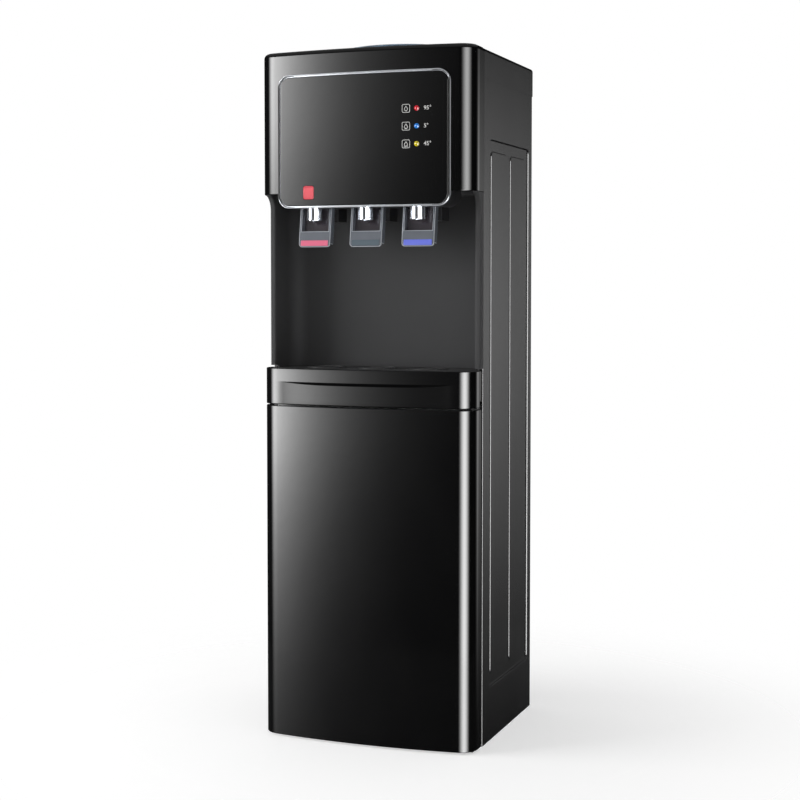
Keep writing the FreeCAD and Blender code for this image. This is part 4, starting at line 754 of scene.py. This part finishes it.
def dropOutline():
    # a water drop: round below, pointed above
    radius, tip = icon["drop"]
    points = []
    for n in range(icon["dropSteps"]):
        turn = 2 * math.pi * n / icon["dropSteps"]
        pull = max(0, math.cos(turn)) ** 3
        across = -radius * math.sin(turn) * (1 - icon["dropPinch"] * pull)
        points.append((across, radius * math.cos(turn) + (tip - radius) * pull - icon["dropLow"]))
    return points


def makeIcon(number, x, z):
    half, (barFoot, barTop) = icon["half"], icon["barSpan"]
    box, drop = roundBox((-half, -half), (half, half), icon["round"], 5), dropOutline()
    loops = [(box, inward(box, icon["line"])), (drop, inward(drop, icon["dropLine"]))]
    bars = number + 1    # one, two or three short bars under the drop tell the three lights apart
    for n in range(bars):
        middle = (n - (bars - 1) / 2) * icon["barPitch"]
        left, right = middle - icon["barHalf"], middle + icon["barHalf"]
        bar = roundBox((left, barFoot - half), (right, barTop - half), icon["barRound"], 2)
        loops.append((bar, None))
    return inkPatch(f"icon{number + 1}", loops, x, z)


def makeNumber(number, x, z):
    data = bpy.data.curves.new("number", "FONT")
    data.body, data.size, data.extrude = lights["numbers"][number], lights["wordSize"], lights["inkThick"]
    data.align_y = "CENTER"
    data.offset = lights["inkBold"]
    words = bpy.data.objects.new("words", data)
    scene.collection.objects.link(words)
    place = Matrix.Translation((x, plateY(x) - lights["wordLift"], z))
    words.matrix_world = (place @ Matrix.Rotation(x / panel["bow"], 4, "Z")
                          @ Matrix.Rotation(math.pi / 2, 4, "X"))
    mesh = evaluated(words)
    bmesh.ops.transform(mesh, matrix=words.matrix_world, verts=mesh.verts)
    bpy.data.objects.remove(words)
    return finishMesh(f"number{number + 1}", mesh)


for n, name in enumerate(lights["names"]):
    height = lights["top"] - lights["pitch"] * n
    replaced = ["indicator_lenses"] if n == 0 else []
    dress(makeLight(name, height), "lens", "cabinet", replaced, lampGlass[name])
    dress(makeIcon(n, lights["iconAcross"], height), "lens", "cabinet", material=ink)
    dress(makeNumber(n, lights["wordAcross"], height), "lens", "cabinet", material=ink)


board = {
    "thick": 1.6 * mm, "round": 2 * mm, "edge": 0.2 * mm, "bendWide": 200 * mm, "strips": 40,
    "lampRadius": 2.5 * mm, "lampSteps": 20,
    "lampSpan": (0.1 * mm, -0.4 * mm),    # levels from just inside the board to the lamp's front
}


def makeBoard():
    # the lamps' circuit board, which follows the plate's curve
    d = board
    low, high, faceY = flatBox("indicator_board")[:3]
    pieces = [slab("indicatorBoard", roundBox(low, high, d["round"], 4), "y", faceY, faceY + d["thick"],
                   (d["edge"], d["edge"]), 2)]
    profile = [(d["lampRadius"], faceY + level) for level in d["lampSpan"]]
    for n in range(len(lights["names"])):
        centre = (lights["across"], 0, lights["top"] - lights["pitch"] * n)
        pieces.append(turned("lamp", profile, centre, "y", d["lampSteps"], closed=False))
    return bowPiece(cutAcross(joinPieces("indicatorBoard", pieces), d["bendWide"], d["strips"]))


dress(makeBoard(), "board_green", "cabinet", ["indicator_board"])
print("control panel made")


# Taps: bright spouts and clear paddles with coloured inserts

sides = {"hot": -1, "warm": 0, "cold": 1}
inserts = {"hot": "red_insert", "warm": "grey_insert", "cold": "blue_insert"}
spout = {
    "bore": 9 * mm, "lip": 0.5 * mm, "lipTurns": (0, 30, 60, 90), "steps": 64,
    "ring": 0.35 * mm,                              # how far the ring at its mouth stands out
    "ringTop": (2.8 * mm, 3.1 * mm, 3.4 * mm),      # heights over the mouth where it rounds off
    "ringSoft": 0.1 * mm,
}
taps = {
    "pitch": 76.3 * mm, "pivot": (-115 * mm, 755 * mm), "lean": 8, "pinHole": 2.56 * mm,
    "wide": 47 * mm, "armWide": 3.2 * mm, "armDeep": 12 * mm, "armRound": 2 * mm,
    "drop": 65 * mm, "window": 43 * mm,             # from the pin down to the foot and to the window's sill
    "pad": 3 * mm, "chamfer": 5 * mm, "edge": 0.8 * mm, "sillShy": 0.4 * mm, "sillLap": 0.2 * mm,
    # the last value sets how far a face may lean before it takes the painted edge highlight
    "pocketDeep": 2 * mm, "cutPast": 1 * mm, "edgeHighlightFrom": 0.97,
}
pane = {
    "thick": 2 * mm, "top": 9 * mm, "gap": 0.05 * mm, "foot": 0.25 * mm, "round": 0.3 * mm,
    "ribHalf": 0.5 * mm, "ribProud": 0.4 * mm, "ribInside": 0.5 * mm, "ribShort": 0.6 * mm,
    "ribRound": 0.2 * mm,
}
insert = {
    "wide": 41 * mm, "tall": 8 * mm, "rise": 1.5 * mm, "proud": 0.6 * mm,
    "play": 0.1 * mm, "deep": 1.9 * mm, "round": 0.9 * mm, "edge": 0.5 * mm,
}


def makeSpout(name):
    low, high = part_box(f"{name}_spout")
    centre, foot = ((low.x + high.x) / 2, (low.y + high.y) / 2, 0), low.z
    outer, bore, lip = (high.x - low.x) / 2, spout["bore"], spout["lip"]
    shaft = outer - spout["ring"]
    full, soft, over = (foot + rise for rise in spout["ringTop"])
    turns = [math.radians(a) for a in spout["lipTurns"]]
    profile = [(shaft, high.z), (shaft, over), (outer - spout["ringSoft"], soft), (outer, full)]
    profile += [(outer - lip * (1 - math.cos(t)), foot + lip * (1 - math.sin(t))) for t in turns]
    profile += [(bore + lip * (1 - math.sin(t)), foot + lip * (1 - math.cos(t))) for t in turns]
    profile += [(bore, high.z)]
    return turned(f"{name}Spout", profile, centre, "z", spout["steps"])


def makePaddle(name):
    # built about its pin, then leaned and set in place
    d = taps
    half, arm, deep, r = d["wide"] / 2, d["armWide"], d["armDeep"] / 2, d["armRound"]
    drop, window, c, e = d["drop"], d["window"], d["chamfer"], d["edge"]
    foot = [(-half, -window), (-half, -drop + c)] + arc((-half + c, -drop + c), c, 180, 270, 5)[1:-1]
    foot += [(-half + c, -drop), (half - c, -drop)] + arc((half - c, -drop + c), c, 270, 360, 5)[1:-1]
    foot += [(half, -drop + c), (half, -window)]
    piece = slab(f"{name}Paddle", foot, "y", -deep, -deep + d["pad"], (e, e), 3)
    profile = [(-deep, -drop + c), (deep - r, -drop + c)]
    profile += arc((deep - r, -drop + c + r), r, 270, 360, 4)[1:] + arc((0, 0), deep, 0, 180, 12)
    parts = []
    for s in (-1, 1):
        x0, x1 = sorted((s * half, s * (half - arm)))
        parts.append(slab("arm", profile, "x", x0, x1, (e, e), 3))
    shy = d["sillShy"]
    parts.append(roundedBlock("sill", (-half + shy, -deep + shy, -window - d["pad"]),
                              (half - shy, deep - shy, -window + d["sillLap"]), e))
    piece = carve(piece, *parts, operation="UNION")
    wide, low, past = insert["wide"] / 2, -drop + insert["rise"], d["cutPast"]
    pocket = roundedBlock("pocket", (-wide, -deep - past, low),
                          (wide, -deep + d["pocketDeep"], low + insert["tall"]), 0)
    pin = slab("pin", circle((0, 0), d["pinHole"], 24), "x", -half - past, half + past)
    piece = carve(piece, pocket, pin)
    # its flat faces are clear, and its rounded edges get a pale opaque finish: a painted highlight along
    # the edges
    piece.data.materials.clear()
    piece.data.materials.append(finishes["clear_grey"])
    piece.data.materials.append(paleEdgeHighlight)
    for face in piece.data.polygons:
        if max(abs(value) for value in face.normal) < d["edgeHighlightFrom"]:
            face.material_index = 1
    return piece


def makeWindow(name):
    # the smoky pane between the arms, with a fine rib down its middle
    d = pane
    half, deep = taps["wide"] / 2 - taps["armWide"] - d["gap"], taps["armDeep"] / 2
    back, foot, top = deep - (taps["pad"] - d["thick"]), -taps["window"] + d["foot"], -d["top"]
    front, rib, short = back - d["thick"], d["ribHalf"], d["ribShort"]
    piece = roundedBlock(f"{name}Window", (-half, front, foot), (half, back, top), d["round"])
    bar = roundedBlock("rib", (-rib, front - d["ribProud"], foot + short),
                       (rib, back - d["ribInside"], top - short), d["ribRound"])
    return carve(piece, bar, operation="UNION")


def makeInsert(name):
    d = insert
    front, foot, half = -taps["armDeep"] / 2, -taps["drop"] + d["rise"], d["wide"] / 2 - d["play"]
    outline = roundBox((-half, foot + d["play"]), (half, foot + d["tall"] - d["play"]), d["round"], 4)
    return slab(f"{name}Insert", outline, "y", front - d["proud"], front + d["deep"], (d["edge"], 0), 4)


def setAtTap(piece, side):
    y, z = taps["pivot"]
    lean = Matrix.Rotation(math.radians(-taps["lean"]), 4, "X")
    piece.data.transform(Matrix.Translation((side * taps["pitch"], y, z)) @ lean)
    return piece


for name, side in sides.items():
    lever = f"{name}_lever"
    dress(makeSpout(name), "chrome_trim", "cabinet", [f"{name}_spout"])
    dress(setAtTap(makePaddle(name), side), "clear_grey", lever, [f"{name}_paddle"], keepMaterials=True)
    dress(setAtTap(makeWindow(name), side), "clear_grey", lever, material=smokyPane)
    dress(setAtTap(makeInsert(name), side), inserts[name], lever, [f"{name}_paddle_insert"])
print("taps made")


# Bowed shells: the head, the drawer's front and the door

bow = {
    "radius": 972 * mm, "corner": 25 * mm, "wall": 2.5 * mm,
    "bowSteps": 60, "cornerSteps": 14, "edgeSteps": 6,
    "leastEdge": 0.2 * mm, "openPast": 5 * mm,
}
head = {
    "edges": (0.9 * mm, 7 * mm),        # rounding of its foot and of its top
    "gap": 0.3 * mm, "openingRound": 17 * mm, "openingSteps": 10, "cutPast": (10 * mm, 5 * mm),
}
door = {"edges": (1.3 * mm, 1.3 * mm)}


def cornerCentre(half, nose):
    # where the right corner's round has its centre, and the turn at which the bow runs into it
    across, reach = half - bow["corner"], bow["radius"] - bow["corner"]
    drop = math.sqrt(reach ** 2 - across ** 2)
    return across, nose + bow["radius"] - drop, math.degrees(math.asin(across / reach))


def bowOutline(half, nose, back, inset=0):
    # from above: the left rear corner, the bowed front, the right rear corner
    wide, radius, corner = half - inset, bow["radius"] - inset, bow["corner"] - inset
    across, cornerY, turn = cornerCentre(half, nose)
    points = [(-wide, back)]
    points += arc((-across, cornerY), corner, 180, 270 - turn, bow["cornerSteps"])
    points += arc((0, nose + bow["radius"]), radius, 270 - turn, 270 + turn, bow["bowSteps"])[1:]
    points += arc((across, cornerY), corner, 270 + turn, 360, bow["cornerSteps"])[1:]
    return points + [(wide, back)]


def bowSolid(name, half, nose, back, low, high, rounds, inset=0):
    steps = bow["edgeSteps"]
    section = [(drawnIn, low + drop) for drawnIn, drop in roundEdge(rounds[0], steps)]
    section += [(drawnIn, high - drop) for drawnIn, drop in roundEdge(rounds[1], steps, True)]
    rings = [[(x, y, z) for x, y in bowOutline(half, nose, back, inset + drawnIn)]
             for drawnIn, z in section]
    return build(name, rings)


def bowShell(name, node, rounds):
    # a bowed shell that is open at the back
    low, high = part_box(node)
    wall, back = bow["wall"], high.y + bow["openPast"]
    body = bowSolid(name, high.x, low.y, high.y, low.z, high.z, rounds)
    inner = tuple(max(r - wall, bow["leastEdge"]) for r in rounds)
    hollow = bowSolid("hollow", high.x, low.y, back, low.z + wall, high.z - wall, inner, inset=wall)
    return carve(body, hollow)


def makeHead():
    # its opening for the taps is open below, as the outline's lower corners lie under its foot
    piece = bowShell("headHousing", "head_housing", head["edges"])
    (low, high), (boxLow, boxHigh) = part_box("head_housing"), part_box("tap_box")
    gap, r, (ahead, behind) = head["gap"], head["openingRound"], head["cutPast"]
    outline = roundBox((boxLow.x - gap, boxLow.z - r), (boxHigh.x + gap, boxHigh.z + gap), r,
                       head["openingSteps"])
    return carve(piece, slab("opening", outline, "y", low.y - ahead, high.y + behind))


drawer = {
    "edge": 1.2 * mm, "frontBack": -97 * mm, "frontWall": 8 * mm, "underEdge": 0.2 * mm,
    "gripHalf": 127 * mm, "gripTop": 504 * mm, "gripDeep": 1.1 * mm, "gripSlant": 4.6 * mm,
    "gripEnds": (8, 4),    # how suddenly its depth and its slant run out at the ends
    "faceRows": (0.25, 0.5, 0.75, 0.96), "slantLap": 1.05,    # they end a little under the slant
    "slantRows": (0.0, 0.06, 0.2, 0.5, 0.8, 0.94, 1.0), "overRows": (0.4 * mm, 4 * mm, 10 * mm),
    "basin": ((-145 * mm, -127 * mm), (145 * mm, -42 * mm)), "basinFloor": 494 * mm, "basinWall": 2 * mm,
    "basinRound": 18.5 * mm, "basinEdge": 1.5 * mm, "basinShy": 0.01 * mm, "deck": 2 * mm,
    "notch": (4 * mm, 7 * mm, 9 * mm),    # at each rear corner: half its width, its depth and its height
    "cutPast": 5 * mm, "nearCorner": 1 * mm,
}


def gripDepth(x):
    # the finger recess runs out at its two ends
    return drawer["gripDeep"] * max(0, 1 - (x / drawer["gripHalf"]) ** drawer["gripEnds"][0])


def gripSlant(x):
    # height of the slanted face at the top of the recess
    return drawer["gripSlant"] * max(0, 1 - (x / drawer["gripHalf"]) ** drawer["gripEnds"][1])


def makeDrawerFront(low, high):
    # rows from the foot up: each gives a height and how far the face is drawn in at a place across it
    e, top, back = drawer["edge"], drawer["gripTop"], drawer["frontBack"]

    def faceRow(x, share):
        return low.z + e + (top - drawer["slantLap"] * gripSlant(x) - low.z - e) * share, gripDepth(x)

    def slantRow(x, share):
        return top - gripSlant(x) * (1 - share), gripDepth(x) * (1 - eased(share))

    rows = [(lambda x, i=i, d=d: (low.z + d, i + gripDepth(x))) for i, d in roundEdge(e)]
    rows += [(lambda x, s=share: faceRow(x, s)) for share in drawer["faceRows"]]
    rows += [(lambda x, s=share: slantRow(x, s)) for share in drawer["slantRows"]]
    rows += [(lambda x, h=height: (top + h, 0)) for height in drawer["overRows"]]
    rows += [(lambda x, i=i, d=d: (high.z - d, i)) for i, d in roundEdge(e, flip=True)]
    across, cornerY = cornerCentre(high.x, low.y)[:2]
    rings = []
    for row in rows:
        ring = []
        for x, y in bowOutline(high.x, low.y, back):
            height, depth = row(x)
            atCorner = abs(x) > across - drawer["nearCorner"]
            centre = (math.copysign(across, x), cornerY) if atCorner else (0, low.y + bow["radius"])
            shift = (Vector(centre) - Vector((x, y))).normalized() * depth
            if y >= back - 1e-7:    # the two rear points move straight across
                shift = Vector((math.copysign(min(depth, e), -x), 0))
            ring.append((x + shift.x, y + shift.y, height))
        rings.append(ring)
    return build("dripDrawer", rings)


def makeDrawer():
    low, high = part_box("drip_drawer")
    d, past, back = drawer, drawer["cutPast"], drawer["frontBack"]
    under = bowSolid("under", high.x, low.y + d["frontWall"], back + past, low.z - past, high.z - d["deck"],
                     (d["underEdge"], d["underEdge"]), inset=bow["wall"])
    outline = roundRear(*d["basin"], d["basinRound"])
    basin = slab("basin", outline, "z", d["basinFloor"], high.z - d["basinShy"], (d["basinEdge"], 0))
    hollow = slab("hollow", inward(outline, d["basinWall"]), "z", d["basinFloor"] + d["basinWall"],
                  high.z + past, (d["basinEdge"], 0))
    piece = carve(makeDrawerFront(low, high), under)
    piece = carve(piece, basin, operation="UNION")
    piece = carve(piece, hollow)
    half, deep, tall = d["notch"]
    for s in (-1, 1):
        x0, x1 = sorted((s * (high.x - half), s * (high.x + half)))
        piece = carve(piece, roundedBlock("notch", (x0, back - deep, low.z - past),
                                          (x1, back + past, low.z + tall), 0, "x"))
    return piece


dress(makeHead(), "gloss_black", "cabinet", ["head_housing"])
dress(bowShell("doorSkin", "door_skin", door["edges"]), "gloss_black", "door", ["door_skin"])
dress(makeDrawer(), "gloss_black", "drip_drawer", ["drip_drawer"])
print("head, door and drawer made")


# Side panels: folded painted sheets, each with a sunk field and two raised panels

sidePanel = {
    "sheet": 1 * mm, "bend": 1.2 * mm,
    "hem": 5 * mm, "flange": 12 * mm,    # folded in at the front, and at the back
    "field": ((-61 * mm, 77 * mm), (132 * mm, 839.5 * mm)), "sunk": 2 * mm, "slope": 2.1 * mm,
    "frame": 10 * mm, "frameBack": 15 * mm, "frameEnds": 16 * mm, "between": 15 * mm,
    "raised": 1.3 * mm, "raisedSlope": 1.4 * mm, "round": 8 * mm, "curveSteps": 8, "slopeSteps": 12,
}


def slopeRings(outline, level, change, width):
    # rings down a soft S-shaped slope, from an outline inwards
    shares = [n / sidePanel["slopeSteps"] for n in range(sidePanel["slopeSteps"] + 1)]
    return [[(level + change * eased(share), y, z) for y, z in inward(outline, width * share)]
            for share in shares]


def fillBetween(mesh, loops):
    # a flat stretch of sheet between one outer loop and the loops inside it
    edges = []
    for loop in loops:
        for n, vert in enumerate(loop):
            following = loop[(n + 1) % len(loop)]
            edges.append(mesh.edges.get((vert, following)) or mesh.edges.new((vert, following)))
    bmesh.ops.triangle_fill(mesh, edges=edges, use_beauty=True)


def makeSidePanel(name, node, side):
    d, steps = sidePanel, sidePanel["curveSteps"]
    low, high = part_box(node)
    y0, y1, z0, z1 = low.y, high.y, low.z, high.z
    face = high.x if side > 0 else -low.x
    mesh = bmesh.new()

    # the fold from the front hem round the bend to the back flange, seen from above
    fold = [(face - d["hem"], y0)] + arc((face - d["bend"], y0 + d["bend"]), d["bend"], 270, 360, steps)
    fold += [(face, y1), (face - d["flange"], y1)]
    columns = [[mesh.verts.new((x, y, z)) for z in (z0, z1)] for x, y in fold]
    front, back = columns[-3], columns[-2]
    for first, second in zip(columns, columns[1:]):
        if first is not front:
            mesh.faces.new((first[0], second[0], second[1], first[1]))

    # the wide side between the bend and the flange, round its sunk field
    (fieldY0, fieldZ0), (fieldY1, fieldZ1) = d["field"]
    field = roundBox((fieldY0, fieldZ0), (fieldY1, fieldZ1), d["round"], steps)
    rows = skin(mesh, slopeRings(field, face, -d["sunk"], d["slope"]))
    rim, foot = rows[0], rows[-1]
    flatLoops = [rim, foot]
    corners, perCorner = (back[0], back[1], front[1], front[0]), len(rim) // 4
    for k, corner in enumerate(corners):
        turn = rim[k * perCorner:(k + 1) * perCorner]
        for first, second in zip(turn, turn[1:]):
            mesh.faces.new((corner, first, second))
        mesh.faces.new((corner, turn[-1], rim[(k + 1) * perCorner % len(rim)], corners[(k + 1) % 4]))

    # the two raised panels in the field
    wide = (fieldY1 - fieldY0 - d["frame"] - d["frameBack"] - d["between"]) / 2
    zLow, zHigh = fieldZ0 + d["frameEnds"], fieldZ1 - d["frameEnds"]
    inner = []
    for number in (0, 1):
        start = fieldY0 + d["frame"] + number * (wide + d["between"])
        raised = roundBox((start, zLow), (start + wide, zHigh), d["round"], steps)
        rows = skin(mesh, slopeRings(raised, face - d["sunk"], d["raised"], d["raisedSlope"]))
        inner.append(rows[0])
        flatLoops += [rows[0], rows[-1]]
        mesh.faces.new(rows[-1])
    fillBetween(mesh, [foot] + inner)

    # edges that stay sharp keep the flat stretches evenly shaded
    sharpEdges = [mesh.edges.get((loop[n], loop[(n + 1) % len(loop)]))
                  for loop in flatLoops for n in range(len(loop))]
    sharpEdges += [mesh.edges.get(front)] + [edge for edge in mesh.edges if len(edge.link_faces) == 1]
    mesh.edges.index_update()
    kept = [edge.index for edge in sharpEdges]

    bmesh.ops.recalc_face_normals(mesh, faces=mesh.faces)
    widest = max(mesh.faces, key=lambda one: one.calc_area())
    if widest.normal.x < 0:
        bmesh.ops.reverse_faces(mesh, faces=mesh.faces)
    if side < 0:
        bmesh.ops.scale(mesh, vec=(-1, 1, 1), verts=mesh.verts)
        bmesh.ops.reverse_faces(mesh, faces=mesh.faces)
    piece = pieceFrom(name, mesh)
    marks = piece.data.attributes
    sharp = marks.get("sharp_edge") or marks.new("sharp_edge", "BOOLEAN", "EDGE")
    for index in kept:
        sharp.data[index].value = True
    thick = piece.modifiers.new("sheet", "SOLIDIFY")
    thick.thickness = d["sheet"]
    thick.offset = -1
    return piece


for hand, side in (("right", 1), ("left", -1)):
    node = f"{hand}_side_panel"
    dress(makeSidePanel(f"{hand}SidePanel", node, side), "panel_black", "cabinet", [node])
print("side panels made")


# Drip grille: a satin plate with a moulded ring round each tap's drain holes

grille = {
    "thick": 2.5 * mm, "corner": 15.5 * mm, "edge": 0.5 * mm,
    "centreHole": 5 * mm, "hole": 2.6 * mm, "rings": ((13 * mm, 8), (22 * mm, 14)), "holeSteps": 20,
    "bead": (27.2 * mm, 1.3 * mm, 1.3 * mm),    # radius of the moulded ring, half its width, its height
    "beadFoot": 0.5 * mm, "beadSteps": 8, "steps": 64,
    "slots": 5, "slotWide": 3 * mm, "slotLong": 30 * mm, "slotPitch": 6 * mm, "slotRound": 1.3 * mm,
    "cutSpan": (-5 * mm, 3 * mm),    # the holes' cutters, from the plate's top
    "legWide": 3 * mm, "legFoot": 496.4 * mm, "legLap": 0.05 * mm,
}


def makeGrille():
    d = grille
    low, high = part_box("drip_grille")
    x1, y0, y1, top = high.x, low.y, high.y, high.z
    outline = roundRear((low.x, y0), (x1, y1), d["corner"])
    plate = slab("dripGrille", outline, "z", top - d["thick"], top, (0, d["edge"]), 3)
    middle, cutter = (y0 + y1) / 2, [top + level for level in d["cutSpan"]]

    radius, half, rise = d["bead"]
    foot, steps = top - d["beadFoot"], d["beadSteps"]
    turns = [math.radians(180 * n / steps) for n in range(steps + 1)]
    section = [(radius - half, foot)]
    section += [(radius - half * math.cos(t), top + rise * math.sin(t)) for t in turns]
    section += [(radius + half, foot)]
    beads, tools = [], []
    for side in sides.values():
        x = side * taps["pitch"]
        beads.append(turned("bead", section, (x, middle, 0), "z", d["steps"]))
        tools.append(slab("hole", circle((x, middle), d["centreHole"], d["holeSteps"]), "z", *cutter))
        for ring, count in d["rings"]:
            for centre in circle((x, middle), ring, count):
                tools.append(slab("hole", circle(centre, d["hole"], d["holeSteps"]), "z", *cutter))
    w, h = d["slotWide"] / 2, d["slotLong"] / 2
    for side in (-0.5, 0.5):
        for n in range(d["slots"]):
            x = side * taps["pitch"] + d["slotPitch"] * (n - (d["slots"] - 1) / 2)
            slot = roundBox((x - w, middle - h), (x + w, middle + h), d["slotRound"], 4)
            tools.append(slab("slot", slot, "z", *cutter))
    plate = carve(plate, joinPieces("beads", beads), operation="UNION")
    plate = carve(plate, joinPieces("holes", tools))

    legs = []
    for s in (-1, 1):
        a, b = sorted((s * x1, s * (x1 - d["legWide"])))
        legs.append(roundedBlock("leg", (a, y0, d["legFoot"]),
                                 (b, y1 - d["corner"], top - d["thick"] + d["legLap"]), 0))
    return carve(plate, *legs, operation="UNION")


dress(makeGrille(), "satin_black", "drip_grille", ["drip_grille"], grilleSatin)
print("drip grille made")
